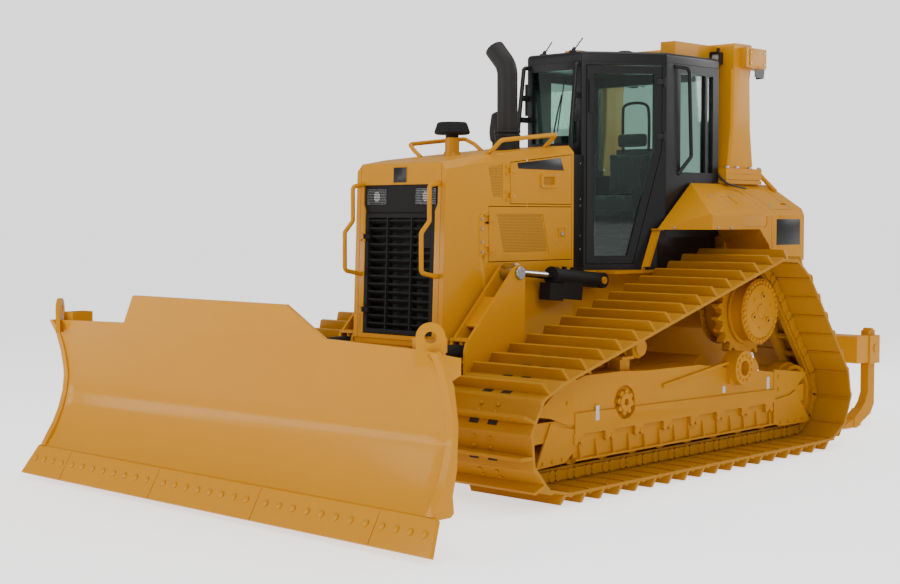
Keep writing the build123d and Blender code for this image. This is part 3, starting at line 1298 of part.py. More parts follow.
beam_x = (-3200, -2980)
beam_z = (570, 810)
pocket_x = (-3375, -3195)
shank_x = (-3335, -3220)
shank_half = 38
eye_recess = 90              # radius of the hollow in the beam for the cylinder rod's eye
with BuildPart() as ripper_beam:
    block(beam_x, (-beam_half, beam_half), beam_z)
    edges = ripper_beam.edges().filter_by(Axis.Y)
    fillet(edges, 18)
    for low, high, radius in ((-50, 50, eye_recess), (link_y[0] - gap, link_y[1] + gap, 70),
                              (-link_y[1] - gap, -link_y[0] + gap, 70)):
        bar((low_rear.X, low, low_rear.Z), (low_rear.X, high, low_rear.Z), radius, Mode.SUBTRACT)
    for side, _ in SIDES:
        for low, high in ((240, 290), (370, 420)):
            side_slab(((beam_x[1] - 20, beam_z[0] + 5), (low_rear.X + 60, beam_z[0] - 10),
                       (low_rear.X + 60, high_rear.Z + 60), (low_rear.X - 40, high_rear.Z + 60),
                       (beam_x[1] - 20, beam_z[1] - 5)), *y_span(side, low, high))
        for z in (low_rear.Z, high_rear.Z):
            bar((low_rear.X, side * 240, z), (low_rear.X, side * 420, z), pin_r)
    for low, high in ((-75, -50), (50, 75)):
        block((beam_x[1] - 10, low_rear.X + 60), (low, high), (beam_z[0], low_rear.Z + 60))
    bar((low_rear.X, -75, low_rear.Z), (low_rear.X, 75, low_rear.Z), 25)
    for y in (-shank_y, 0, shank_y):
        block(pocket_x, (y - 66, y + 66), (beam_z[0] - 14, beam_z[1] - 6))
        bar((-3300, y - 74, 690), (-3300, y + 74, 690), 40)
        block(shank_x, (y - shank_half, y + shank_half), (500, 900), Mode.SUBTRACT)
        block((pocket_x[0] - 1, shank_x[0] + 1), (y - 22, y + 22), (beam_z[0] + 50, beam_z[1] - 70),
              Mode.SUBTRACT)
save(ripper_beam, "ripper_beam")

shank_side = (
    (shank_x[0], 850), (shank_x[1], 850), (shank_x[1], 300), (-3175, 218), (-3085, 148), (-2975, 84),
    (-2770, 24), (-2805, 10), (-3000, 8), (-3080, 30), (-3270, 104), (shank_x[0], 190),
)
with BuildPart() as shanks:
    for y in (-shank_y, 0, shank_y):
        side_slab(shank_side, y - shank_half, y + shank_half)
        side_slab(((-3095, 165), (-2975, 94), (-2975, 8), (-3000, 2), (-3085, 22)),
                  y - shank_half - 8, y + shank_half + 8)
        bar((shank_x[1] - 60, y - shank_half - 2, 845), (shank_x[1] - 60, y + shank_half + 2, 845), 26)
save(shanks, "shanks")

cylinder_pair(
    "ripper", "", (high_front.X, 0, high_front.Z), (low_rear.X, 0, low_rear.Z),
    52, 28, 60, (28, 25), 22, (0.2, 0, 16.7), 176, Vector(0, 1, 0), 90,
)
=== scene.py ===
"""Finishes and small parts of the crawler tractor, round its CAD frame.

Metres, +X forward to the blade, +Y to the machine's left, +Z up. Every piece rides on a CAD body.
"""
import json
import math

import bmesh
import bpy
from mathutils import Matrix, Vector
from mathutils.bvhtree import BVHTree

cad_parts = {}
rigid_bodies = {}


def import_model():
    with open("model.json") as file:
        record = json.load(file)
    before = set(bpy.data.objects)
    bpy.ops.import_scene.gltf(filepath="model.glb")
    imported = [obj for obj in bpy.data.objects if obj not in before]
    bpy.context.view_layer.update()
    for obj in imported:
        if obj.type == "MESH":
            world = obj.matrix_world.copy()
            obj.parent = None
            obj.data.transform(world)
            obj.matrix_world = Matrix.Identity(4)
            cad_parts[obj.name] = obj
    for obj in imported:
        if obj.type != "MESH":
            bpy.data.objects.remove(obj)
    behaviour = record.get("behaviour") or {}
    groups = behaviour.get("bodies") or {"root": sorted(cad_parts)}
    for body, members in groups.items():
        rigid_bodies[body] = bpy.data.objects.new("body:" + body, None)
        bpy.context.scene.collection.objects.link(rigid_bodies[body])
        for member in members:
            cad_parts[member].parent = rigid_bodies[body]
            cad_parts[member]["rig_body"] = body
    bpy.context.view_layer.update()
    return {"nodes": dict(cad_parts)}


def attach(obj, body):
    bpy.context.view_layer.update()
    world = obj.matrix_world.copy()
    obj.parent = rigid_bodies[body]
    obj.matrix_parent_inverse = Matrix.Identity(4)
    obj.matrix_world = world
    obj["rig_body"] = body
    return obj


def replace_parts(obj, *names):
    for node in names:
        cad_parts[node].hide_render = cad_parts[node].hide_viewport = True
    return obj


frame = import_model()
nodes = frame["nodes"]


# ---------------------------------------------------------------- camera, floor and light
def aim(thing, place, target):
    """Put a camera or lamp at a place and point it at a target."""
    thing.location = place
    thing.rotation_mode = "QUATERNION"
    thing.rotation_quaternion = (Vector(target) - Vector(place)).to_track_quat("-Z", "Y")
    bpy.context.scene.collection.objects.link(thing)


def make_camera():
    """A camera at front left, a little below the hood's height."""
    eye = Vector((9.240, 7.657, 1.861))
    heading, dip = -2.385, -0.049        # radians from +X and from level
    sight = Vector((math.cos(heading) * math.cos(dip), math.sin(heading) * math.cos(dip), math.sin(dip)))
    lens = bpy.data.cameras.new("view")
    lens.sensor_width = 36
    lens.lens = 61.45
    lens.clip_end = 1000
    camera = bpy.data.objects.new("view", lens)
    aim(camera, eye, eye + sight)
    bpy.context.scene.camera = camera


def make_floor():
    """A wide pale floor under the tracks."""
    mesh = bpy.data.meshes.new("floor")
    reach = 400
    glow_on_things, glow_in_view = 0.70, 1.25
    corners = [(-reach, -reach, 0), (reach, -reach, 0), (reach, reach, 0), (-reach, reach, 0)]
    mesh.from_pydata(corners, [], [(0, 1, 2, 3)])
    floor = bpy.data.objects.new("floor", mesh)
    bpy.context.scene.collection.objects.link(floor)
    paper = bpy.data.materials.new("floor_paper")
    paper.use_nodes = True
    shader = paper.node_tree.nodes["Principled BSDF"]
    shader.inputs["Base Color"].default_value = (0.94, 0.94, 0.94, 1)
    shader.inputs["Roughness"].default_value = 0.85
    shader.inputs["Emission Color"].default_value = (1, 1, 1, 1)
    glow = paper.node_tree.nodes.new("ShaderNodeMath")
    glow.operation = "MULTIPLY_ADD"
    glow.inputs[1].default_value = glow_in_view - glow_on_things
    glow.inputs[2].default_value = glow_on_things
    seen = paper.node_tree.nodes.new("ShaderNodeLightPath").outputs["Is Camera Ray"]
    paper.node_tree.links.new(seen, glow.inputs[0])
    paper.node_tree.links.new(glow.outputs[0], shader.inputs["Emission Strength"])
    mesh.materials.append(paper)


def make_light():
    """A bright room with five soft boxes."""
    world = bpy.data.worlds.new("studio")
    bpy.context.scene.world = world
    world.use_nodes = True
    tree = world.node_tree
    room = tree.nodes["Background"]
    wall = tree.nodes.new("ShaderNodeBackground")
    for glow, strength in ((room, 0.50), (wall, 1.75)):
        glow.inputs["Color"].default_value = (1, 1, 1, 1)
        glow.inputs["Strength"].default_value = strength
    seen = tree.nodes.new("ShaderNodeMixShader")
    tree.links.new(tree.nodes.new("ShaderNodeLightPath").outputs["Is Camera Ray"], seen.inputs[0])
    tree.links.new(room.outputs[0], seen.inputs[1])
    tree.links.new(wall.outputs[0], seen.inputs[2])
    tree.links.new(seen.outputs[0], tree.nodes["World Output"].inputs["Surface"])
    boxes = (
        # name, place, target, width, height, watts
        ("key", (7.5, 9.5, 6.5), (0.6, 0.4, 1.2), 5, 4, 480),
        ("front", (11.5, -4.5, 4.5), (2.5, 0.0, 0.9), 5, 4, 340),
        ("strip", (11.0, -6.6, 1.9), (3.2, -0.4, 0.7), 8, 0.7, 170),
        ("top", (0.5, 1.0, 9.0), (0.0, 0.0, 1.0), 9, 6, 400),
        ("back", (-8.5, 3.5, 5.0), (-1.0, 0.2, 1.5), 4, 4, 260),
    )
    for name, place, target, width, height, watts in boxes:
        lamp = bpy.data.lights.new(name, "AREA")
        lamp.shape = "RECTANGLE"
        lamp.size = width
        lamp.size_y = height
        lamp.energy = watts
        aim(bpy.data.objects.new(name, lamp), place, target)


make_camera()
make_floor()
make_light()


# ---------------------------------------------------------------- finishes
def shader_group(name, inputs, outputs):
    """An empty shader node group with named sockets; returns the tree and its two end nodes."""
    tree = bpy.data.node_groups.new(name, "ShaderNodeTree")
    for label, kind, value in inputs:
        socket = tree.interface.new_socket(label, in_out="INPUT", socket_type=kind)
        socket.default_value = value
    for label, kind in outputs:
        tree.interface.new_socket(label, in_out="OUTPUT", socket_type=kind)
    return tree, tree.nodes.new("NodeGroupInput"), tree.nodes.new("NodeGroupOutput")


def math_node(tree, operation, *values):
    """A Math node whose inputs are sockets or numbers; returns its output."""
    node = tree.nodes.new("ShaderNodeMath")
    node.operation = operation
    for slot, value in zip(node.inputs, values):
        if hasattr(value, "node"):
            tree.links.new(value, slot)
        else:
            slot.default_value = value
    return node.outputs[0]


def noise(tree, scale, detail=3.0, roughness=0.5):
    """Noise on Object coordinates, whose scale is a socket or a number; returns its value output."""
    place = tree.nodes.new("ShaderNodeTexCoord").outputs["Object"]
    node = tree.nodes.new("ShaderNodeTexNoise")
    node.inputs["Detail"].default_value = detail
    node.inputs["Roughness"].default_value = roughness
    tree.links.new(place, node.inputs["Vector"])
    if hasattr(scale, "node"):
        tree.links.new(scale, node.inputs["Scale"])
    else:
        node.inputs["Scale"].default_value = scale
    return node.outputs[0]


def mixed(tree, factor, first, second):
    """A colour mix; returns its output."""
    node = tree.nodes.new("ShaderNodeMix")
    node.data_type = "RGBA"
    for value, slot in ((factor, node.inputs[0]), (first, node.inputs[6]), (second, node.inputs[7])):
        if hasattr(value, "node"):
            tree.links.new(value, slot)
        else:
            slot.default_value = value
    return node.outputs[2]


def coating_group():
    """Sprayed paint: patchy tone, orange peel, and dust that settles on low, level faces."""
    dust_colour = (0.30, 0.20, 0.09, 1)
    tree, given, out = shader_group(
        "sprayed_coat",
        (
            ("Tone", "NodeSocketColor", (0.5, 0.5, 0.5, 1)),
            ("Shade", "NodeSocketColor", (0.4, 0.4, 0.4, 1)),
            ("Patch scale", "NodeSocketFloat", 1.5),
            ("Gloss", "NodeSocketFloat", 0.35),
            ("Gloss drift", "NodeSocketFloat", 0.08),
            ("Peel scale", "NodeSocketFloat", 240.0),
            ("Dust", "NodeSocketFloat", 0.1),
            ("Dust top", "NodeSocketFloat", 0.9),
        ),
        (("Colour", "NodeSocketColor"), ("Roughness", "NodeSocketFloat"), ("Height", "NodeSocketFloat")),
    )
    links = tree.links
    patches = noise(tree, given.outputs["Patch scale"], 4.0, 0.6)
    tone = mixed(tree, patches, given.outputs["Tone"], given.outputs["Shade"])
    geometry = tree.nodes.new("ShaderNodeNewGeometry")
    facing = tree.nodes.new("ShaderNodeSeparateXYZ")
    links.new(geometry.outputs["Normal"], facing.inputs[0])
    place = tree.nodes.new("ShaderNodeSeparateXYZ")
    links.new(tree.nodes.new("ShaderNodeTexCoord").outputs["Object"], place.inputs[0])
    level = math_node(tree, "MAXIMUM", facing.outputs["Z"], 0.15)
    height_share = math_node(tree, "DIVIDE", place.outputs["Z"], given.outputs["Dust top"])
    low = math_node(tree, "SUBTRACT", 1.0, height_share)
    speckle = noise(tree, 9.0, 6.0, 0.65)
    dusty = math_node(tree, "MULTIPLY", math_node(tree, "MAXIMUM", low, 0.0), level)
    dusty = math_node(tree, "MULTIPLY", math_node(tree, "MULTIPLY", dusty, speckle), given.outputs["Dust"])
    links.new(mixed(tree, dusty, tone, dust_colour), out.inputs["Colour"])
    drift = math_node(tree, "MULTIPLY_ADD", patches, given.outputs["Gloss drift"], given.outputs["Gloss"])
    links.new(math_node(tree, "ADD", drift, dusty), out.inputs["Roughness"])
    links.new(noise(tree, given.outputs["Peel scale"], 2.0, 0.4), out.inputs["Height"])
    return tree


def skin_group():
    """Fine relief of cast, moulded or woven skins: a coarse and a fine grain added together."""
    tree, given, out = shader_group(
        "skin_grain",
        (("Coarse", "NodeSocketFloat", 30.0), ("Fine", "NodeSocketFloat", 300.0),
         ("Share", "NodeSocketFloat", 0.5)),
        (("Height", "NodeSocketFloat"), ("Mask", "NodeSocketFloat")),
    )
    coarse = noise(tree, given.outputs["Coarse"], 3.0, 0.5)
    fine = noise(tree, given.outputs["Fine"], 2.0, 0.5)
    share = math_node(tree, "MULTIPLY", fine, given.outputs["Share"])
    tree.links.new(math_node(tree, "ADD", coarse, share), out.inputs["Height"])
    tree.links.new(coarse, out.inputs["Mask"])
    return tree


SPRAYED = coating_group()
SKIN = skin_group()


def blank_material(name, **sockets):
    """A material with its Principled BSDF, whose plain sockets are set by name."""
    made = bpy.data.materials.new(name)
    made.use_nodes = True
    shader = made.node_tree.nodes["Principled BSDF"]
    for label, value in sockets.items():
        shader.inputs[label.replace("_", " ")].default_value = value
    return made, shader


def add_bump(made, shader, height, distance, strength=1.0):
    """Feed a height into the shader's normal."""
    bump = made.node_tree.nodes.new("ShaderNodeBump")
    bump.inputs["Distance"].default_value = distance
    bump.inputs["Strength"].default_value = strength
    made.node_tree.links.new(height, bump.inputs["Height"])
    made.node_tree.links.new(bump.outputs["Normal"], shader.inputs["Normal"])


def painted(name, tone, shade, gloss, peel=240.0, depth=0.0004, dust=0.0, patch=1.5, coat=0.0, shine=0.12):
    """Sprayed enamel."""
    made, shader = blank_material(name, Coat_Weight=coat, Coat_Roughness=0.12, Metallic=0.0,
                                  Specular_IOR_Level=shine)
    group = made.node_tree.nodes.new("ShaderNodeGroup")
    group.node_tree = SPRAYED
    values = (("Tone", (*tone, 1)), ("Shade", (*shade, 1)), ("Patch scale", patch), ("Gloss", gloss),
              ("Gloss drift", 0.08), ("Peel scale", peel), ("Dust", dust), ("Dust top", 1.3))
    for label, value in values:
        group.inputs[label].default_value = value
    made.node_tree.links.new(group.outputs["Colour"], shader.inputs["Base Color"])
    made.node_tree.links.new(group.outputs["Roughness"], shader.inputs["Roughness"])
    add_bump(made, shader, group.outputs["Height"], depth)
    return made


def grained(name, colour, roughness, coarse, fine, depth, metal=0.0, second=None, sheen=0.0):
    """Bare, cast, moulded or woven stuff with a grain."""
    made, shader = blank_material(name, Roughness=roughness, Metallic=metal, Sheen_Weight=sheen)
    shader.inputs["Base Color"].default_value = (*colour, 1)
    group = made.node_tree.nodes.new("ShaderNodeGroup")
    group.node_tree = SKIN
    group.inputs["Coarse"].default_value = coarse
    group.inputs["Fine"].default_value = fine
    group.inputs["Share"].default_value = 0.5
    if second:
        tone = mixed(made.node_tree, group.outputs["Mask"], (*colour, 1), (*second, 1))
        made.node_tree.links.new(tone, shader.inputs["Base Color"])
    add_bump(made, shader, group.outputs["Height"], depth)
    return made


def clear_glass(name, tint, roughness=0.02):
    """Tinted safety glass with a faint ripple."""
    made, shader = blank_material(name, Roughness=roughness, IOR=1.45, Transmission_Weight=1.0, Metallic=0.0)
    shader.inputs["Base Color"].default_value = (*tint, 1)
    add_bump(made, shader, noise(made.node_tree, 3.0, 1.0), 0.0004, 0.2)
    return made


YELLOW = painted("yellow_enamel", (0.560, 0.236, 0.000), (0.520, 0.214, 0.000), 0.42, dust=0.02, coat=0.16)
YELLOW_CAST = painted("yellow_on_castings", (0.510, 0.214, 0.001), (0.460, 0.188, 0.001), 0.45, peel=90.0,
                      depth=0.0011, dust=0.10)
YELLOW_TRACK = painted("yellow_on_tracks", (0.420, 0.185, 0.006), (0.380, 0.162, 0.005), 0.42, peel=150.0,
                       depth=0.0008, dust=0.12)
BLACK = painted("black_enamel", (0.009, 0.009, 0.010), (0.013, 0.013, 0.014), 0.26, depth=0.0003, coat=0.03,
                shine=0.22)
BLACK_MATT = painted("black_matt", (0.010, 0.010, 0.010), (0.016, 0.015, 0.015), 0.55, peel=420.0)
BLACK_HOT = painted("black_heatproof", (0.020, 0.019, 0.019), (0.030, 0.028, 0.027), 0.40, peel=500.0,
                    patch=6.0)
PANEL_GREY = painted("grey_blank_plate", (0.50, 0.50, 0.49), (0.55, 0.55, 0.54), 0.40)
TRIM = grained("trim_plastic", (0.020, 0.022, 0.022), 0.55, 220.0, 900.0, 0.0006,
               second=(0.030, 0.032, 0.032))
RUBBER = grained("door_seal_rubber", (0.012, 0.012, 0.012), 0.75, 120.0, 700.0, 0.0004)
HOSE = grained("hose_rubber", (0.014, 0.014, 0.014), 0.5, 500.0, 1200.0, 0.0004)
STEEL = grained("turned_steel", (0.42, 0.43, 0.45), 0.32, 90.0, 700.0, 0.0002, metal=1.0,
                second=(0.30, 0.31, 0.33))
CHROME = grained("hard_chrome", (0.46, 0.47, 0.49), 0.18, 40.0, 300.0, 0.00005, metal=1.0)
SEAT_CLOTH = grained("seat_cloth", (0.028, 0.031, 0.032), 0.85, 260.0, 1100.0, 0.0012,
                     second=(0.045, 0.050, 0.050), sheen=0.3)
CORE = grained("radiator_fins", (0.008, 0.008, 0.008), 0.7, 200.0, 800.0, 0.001)
ENGINE = grained("engine_castings", (0.10, 0.085, 0.06), 0.6, 40.0, 300.0, 0.002)
GLASS = clear_glass("green_glass", (0.60, 0.83, 0.74))
LENS = clear_glass("lamp_lens", (0.95, 0.95, 0.95), 0.08)
REFLECTOR = grained("lamp_reflector", (0.85, 0.85, 0.83), 0.25, 60.0, 300.0, 0.0003)
# painted shade: a dark brown that stands in for the shade inside the shoes' mud holes and the hub plugs'
# sockets
HOLE = grained("shade_in_holes", (0.020, 0.013, 0.004), 0.8, 60.0, 300.0, 0.0003)
# painted shade: a dark yellow-brown that stands in for the shade behind the door, hood and inlet mesh
MESH_HOLE = grained("shade_in_mesh", (0.105, 0.050, 0.006), 0.8, 60.0, 300.0, 0.0003)


# ---------------------------------------------------------------- CAD pieces with broken edges
def mesh_of(name, bm):
    """A bmesh as a named mesh."""
    mesh = bpy.data.meshes.new(name)
    bm.to_mesh(mesh)
    bm.free()
    return mesh


def evaluated(thing):
    """What an object's curve or modifiers give, as a plain mesh."""
    depsgraph = bpy.context.evaluated_depsgraph_get()
    return bpy.data.meshes.new_from_object(thing.evaluated_get(depsgraph))


def thin_blade_ends(bm):
    """Run the mouldboard's foot box out to a thin plate at each end."""
    taper_start, ends_from = 1.78, 1.88
    box_back, box_top = 3.06, 0.5        # the box's back face lies behind this x, below this z
    thin_top, thin_foot = 3.12, 3.16     # where its upper and lower back edges come to lie
    for side in (1, -1):
        geometry = bm.verts[:] + bm.edges[:] + bm.faces[:]
        bmesh.ops.bisect_plane(bm, geom=geometry, plane_co=(0, side * taper_start, 0), plane_no=(0, 1, 0))
    for vert in bm.verts:
        if abs(vert.co.y) > ends_from and vert.co.x < box_back and vert.co.z < box_top:
            vert.co.x = thin_top if vert.co.z > 0.4 else thin_foot


def eased(node, material, reshape=None):
    """A CAD node with its edges broken and its round faces smoothed, standing for the plain one."""
    corner = math.radians(32)        # a sharper turn than this is an edge
    bm = bmesh.new()
    bm.from_mesh(nodes[node].data)
    bmesh.ops.remove_doubles(bm, verts=bm.verts, dist=0.00002)
    bmesh.ops.dissolve_limit(bm, angle_limit=math.radians(0.6), verts=bm.verts, edges=bm.edges)
    if reshape:
        reshape(bm)
    mesh = mesh_of(node + "_finish", bm)
    mesh.materials.append(material)
    mesh.shade_smooth()
    mesh.set_sharp_from_angle(angle=corner)
    piece = bpy.data.objects.new(node + "_finish", mesh)
    bpy.context.scene.collection.objects.link(piece)
    bevel = piece.modifiers.new("edge", "BEVEL")
    bevel.width = 0.004
    bevel.segments = 2
    bevel.limit_method = "ANGLE"
    bevel.angle_limit = corner
    bevel.harden_normals = True
    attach(piece, nodes[node]["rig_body"])
    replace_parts(piece, node)


def plain(node, material):
    """Give a CAD node its finish as it is."""
    nodes[node].data.materials.clear()
    nodes[node].data.materials.append(material)


FINISH = {
    YELLOW: ("blade_swivel", "c_frame", "cutting_edge", "engine_door_l", "engine_door_r", "hood",
             "hood_rails", "radiator_guard", "rear_tank", "rops_frame", "side_tank_l", "side_tank_r",
             "upper_door_l", "upper_door_r", "ripper_beam", "ripper_bracket", "ripper_high_links",
             "ripper_low_links"),
    YELLOW_CAST: ("final_drives", "idlers", "main_frame", "rollers", "shanks", "sprockets", "track_frame_l",
                  "track_frame_r"),
    YELLOW_TRACK: ("track_l", "track_r"),
    BLACK: ("antennas", "cab_door_l", "cab_door_r", "cab_frame", "cab_roof", "work_lamps"),
    BLACK_MATT: ("angle_barrel_l", "angle_barrel_r", "cowl", "grille_door", "lamp_panel", "lift_barrel_l",
                 "lift_barrel_r", "precleaner", "ripper_barrel", "tilt_barrel"),
    BLACK_HOT: ("exhaust",),
    CHROME: ("angle_rod_l", "angle_rod_r", "lift_rod_l", "lift_rod_r", "ripper_rod", "tilt_rod"),
    TRIM: ("cab_controls", "cab_floor"),
}
for material, names in FINISH.items():
    for name in names:
        eased(name, material)
eased("blade", YELLOW, reshape=thin_blade_ends)
for name in ("cab_glass", "door_glass_l", "door_glass_r"):
    plain(name, GLASS)
plain("engine_block", ENGINE)
plain("radiator_core", CORE)


# ---------------------------------------------------------------- making and placing small pieces
SIDES = ((1, "l"), (-1, "r"))
BESIDE = 1.6        # clear of the tractor's side, where rays that seat things start
AHEAD = 2.2         # clear of the guard's front
ABOVE = 3.0         # clear of the tanks' tops
SUNK = 0.001        # how far a bolt's foot goes into its face
BARELY_SUNK = 0.0005
LIFTED = -0.0002    # how far a mesh's holes stand off their face


def finished(name, mesh, material, body, smooth=35):
    """A plain mesh as a piece that rides on a body; its smooth angle is in degrees."""
    if material:
        mesh.materials.clear()
        mesh.materials.append(material)
    if smooth:
        mesh.shade_smooth()
        mesh.set_sharp_from_angle(angle=math.radians(smooth))
    piece = bpy.data.objects.new(name, mesh)
    bpy.context.scene.collection.objects.link(piece)
    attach(piece, body)
    return piece


def surface(node):
    """A lookup tree over a CAD node's faces."""
    mesh = nodes[node].data
    return BVHTree.FromPolygons([v.co for v in mesh.vertices], [f.vertices for f in mesh.polygons])


def seated(tree, starts, direction, sink=0.0):
    """Where rays from the starts meet the faces: (point, facing) pairs, each sunk a little."""
    found = []
    for start in starts:
        point, facing, _, _ = tree.ray_cast(Vector(start), Vector(direction))
        if point is not None:
            found.append((point - facing * sink, facing))
    return found


def seated_beside(tree, side, spots, sink=0.0):
    """(point, facing) pairs where a side's faces lie at (x, z) spots, met from outside."""
    return seated(tree, [(x, side * BESIDE, z) for x, z in spots], (0, -side, 0), sink)


def ring_spots(x, z, radius, count, first=0.0):
    """Spots round a cross-wise axis, as (x, z)."""
    turns = [first + 2 * math.pi * k / count for k in range(count)]
    return [(x + radius * math.cos(turn), z + radius * math.sin(turn)) for turn in turns]


def geometry_tree(name, inputs):
    """A Geometry Nodes tree with named inputs; returns the tree and its two end nodes."""
    tree = bpy.data.node_groups.new(name, "GeometryNodeTree")
    tree.interface.new_socket("Geometry", in_out="INPUT", socket_type="NodeSocketGeometry")
    for label, kind in inputs:
        tree.interface.new_socket(label, in_out="INPUT", socket_type=kind)
    tree.interface.new_socket("Geometry", in_out="OUTPUT", socket_type="NodeSocketGeometry")
    return tree, tree.nodes.new("NodeGroupInput"), tree.nodes.new("NodeGroupOutput")


def vector_attribute(tree, name):
    """Reads a named vector off the points."""
    node = tree.nodes.new("GeometryNodeInputNamedAttribute")
    node.data_type = "FLOAT_VECTOR"
    node.inputs["Name"].default_value = name
    return node.outputs["Attribute"]


def stood_on_points(tree, given, out, shape):
    """Stand a shape on every point, up along its facing and turned to its heading."""
    links = tree.links
    upright = tree.nodes.new("FunctionNodeAxesToRotation")
    upright.primary_axis = "Z"
    upright.secondary_axis = "X"
    links.new(vector_attribute(tree, "facing"), upright.inputs["Primary Axis"])
    links.new(vector_attribute(tree, "heading"), upright.inputs["Secondary Axis"])
    place = tree.nodes.new("GeometryNodeInstanceOnPoints")
    links.new(given.outputs["Geometry"], place.inputs["Points"])
    links.new(shape, place.inputs["Instance"])
    links.new(upright.outputs[0], place.inputs["Rotation"])
    real = tree.nodes.new("GeometryNodeRealizeInstances")
    links.new(place.outputs["Instances"], real.inputs["Geometry"])
    paint = tree.nodes.new("GeometryNodeSetMaterial")
    links.new(real.outputs["Geometry"], paint.inputs["Geometry"])
    links.new(given.outputs["Material"], paint.inputs["Material"])
    links.new(paint.outputs["Geometry"], out.inputs["Geometry"])


def fixing_tree():
    """Bolt heads: a straight foot under a narrower crown."""
    tree, given, out = geometry_tree("bolt_heads", (
        ("Radius", "NodeSocketFloat"), ("Height", "NodeSocketFloat"), ("Crown share", "NodeSocketFloat"),
        ("Sides", "NodeSocketInt"), ("Material", "NodeSocketMaterial")))
    crown_height = math_node(tree, "MULTIPLY", given.outputs["Height"], 0.4)
    foot_height = math_node(tree, "MULTIPLY", given.outputs["Height"], 0.6)
    crown_radius = math_node(tree, "MULTIPLY", given.outputs["Radius"], given.outputs["Crown share"])
    joined = tree.nodes.new("GeometryNodeJoinGeometry")
    for top, height, lift in ((given.outputs["Radius"], foot_height, None),
                              (crown_radius, crown_height, foot_height)):
        cone = tree.nodes.new("GeometryNodeMeshCone")
        tree.links.new(given.outputs["Sides"], cone.inputs["Vertices"])
        tree.links.new(top, cone.inputs["Radius Top"])
        tree.links.new(given.outputs["Radius"], cone.inputs["Radius Bottom"])
        tree.links.new(height, cone.inputs["Depth"])
        made = cone.outputs["Mesh"]
        if lift:
            raised = tree.nodes.new("ShaderNodeCombineXYZ")
            tree.links.new(lift, raised.inputs["Z"])
            shift = tree.nodes.new("GeometryNodeTransform")
            tree.links.new(made, shift.inputs["Geometry"])
            tree.links.new(raised.outputs[0], shift.inputs["Translation"])
            made = shift.outputs["Geometry"]
        tree.links.new(made, joined.inputs["Geometry"])
    stood_on_points(tree, given, out, joined.outputs["Geometry"])
    return tree


def tile_tree():
    """Thin oblong tiles, for plates, slots and lens cells."""
    tree, given, out = geometry_tree("oblong_tiles", (
        ("Length", "NodeSocketFloat"), ("Width", "NodeSocketFloat"), ("Height", "NodeSocketFloat"),
        ("Material", "NodeSocketMaterial")))
    size = tree.nodes.new("ShaderNodeCombineXYZ")
    for label, axis in (("Length", "X"), ("Width", "Y"), ("Height", "Z")):
        tree.links.new(given.outputs[label], size.inputs[axis])
    tile = tree.nodes.new("GeometryNodeMeshCube")
    tree.links.new(size.outputs[0], tile.inputs["Size"])
    stood_on_points(tree, given, out, tile.outputs["Mesh"])
    return tree


FIXINGS = fixing_tree()
TILES = tile_tree()


def repeated(name, tree, places, body, slot, heading=(0, 0, 1), **sizes):
    """One mesh of a shape repeated at (point, facing) or (point, facing, heading) places."""
    cloud = bpy.data.meshes.new(name + "_places")
    cloud.from_pydata([tuple(place[0]) for place in places], [], [])
    for label, column in (("facing", 1), ("heading", 2)):
        rows = cloud.attributes.new(label, "FLOAT_VECTOR", "POINT")
        for row, place in zip(rows.data, places):
            row.vector = place[column] if len(place) > column else heading
    holder = bpy.data.objects.new(name + "_places", cloud)
    bpy.context.scene.collection.objects.link(holder)
    repeat = holder.modifiers.new("repeat", "NODES")
    repeat.node_group = tree
    sockets = {item.name: item.identifier for item in tree.interface.items_tree if item.in_out == "INPUT"}
    for label, value in sizes.items():
        repeat[sockets[label.replace("_", " ")]] = value
    mesh = evaluated(holder)
    mesh.name = name
    bpy.data.objects.remove(holder)
    return finished(name, mesh, None, body, 30)


def bolts(name, places, body, material, slot, radius=0.011, height=0.009, crown=0.82, sides=6, **more):
    """Bolt heads at places on one body."""
    return repeated(name, FIXINGS, places, body, slot, Radius=radius, Height=height, Crown_share=crown,
                    Sides=sides, Material=material, **more)


def cast_bolts(name, places, **sizes):
    """Yellow bolt heads on the tractor's castings."""
    return bolts(name, places, "tractor", YELLOW_CAST, "painted_yellow", **sizes)


def steel_bolts(name, places, body="tractor", **sizes):
    """Bright bolt heads."""
    return bolts(name, places, body, STEEL, "chrome_rod", **sizes)


def plate(name, outline, thickness, body, material, bevel=0.001):
    """A flat plate: an outline of points in space, thickened along its facing."""
    bm = bmesh.new()
    face = bm.faces.new([bm.verts.new(point) for point in outline])
    bm.normal_update()
    facing = face.normal.copy()
    raised = bmesh.ops.extrude_face_region(bm, geom=[face])
    bmesh.ops.translate(bm, vec=facing * thickness,
                        verts=[v for v in raised["geom"] if isinstance(v, bmesh.types.BMVert)])
    bmesh.ops.recalc_face_normals(bm, faces=bm.faces)
    if bevel:
        bmesh.ops.bevel(bm, geom=bm.edges[:], offset=bevel, segments=2, affect="EDGES", profile=0.5)
    return finished(name, mesh_of(name, bm), material, body, 40)


def side_plate(name, outline, side, y, thickness, body, material, bevel=0.0005):
    """A plate on a side wall: its (x, z) outline runs clockwise seen from the left."""
    corners = [(x, y, z) for x, z in outline]
    return plate(name, corners[::-side], thickness, body, material, bevel)


def tube(name, points, radius, body, material):
    """A round rod or cable held along its run."""
    curve = bpy.data.curves.new(name, "CURVE")
    curve.dimensions = "3D"
    curve.bevel_depth = radius
    curve.bevel_resolution = 3
    curve.use_fill_caps = True
    curve.resolution_u = 6
    spline = curve.splines.new("NURBS")
    spline.points.add(len(points) - 1)
    for row, point in zip(spline.points, points):
        row.co = (*point, 1)
    spline.order_u = 3
    spline.use_endpoint_u = True
    holder = bpy.data.objects.new(name + "_run", curve)
    bpy.context.scene.collection.objects.link(holder)
    mesh = evaluated(holder)
    bpy.data.objects.remove(holder)
    return finished(name, mesh, material, body, 50)


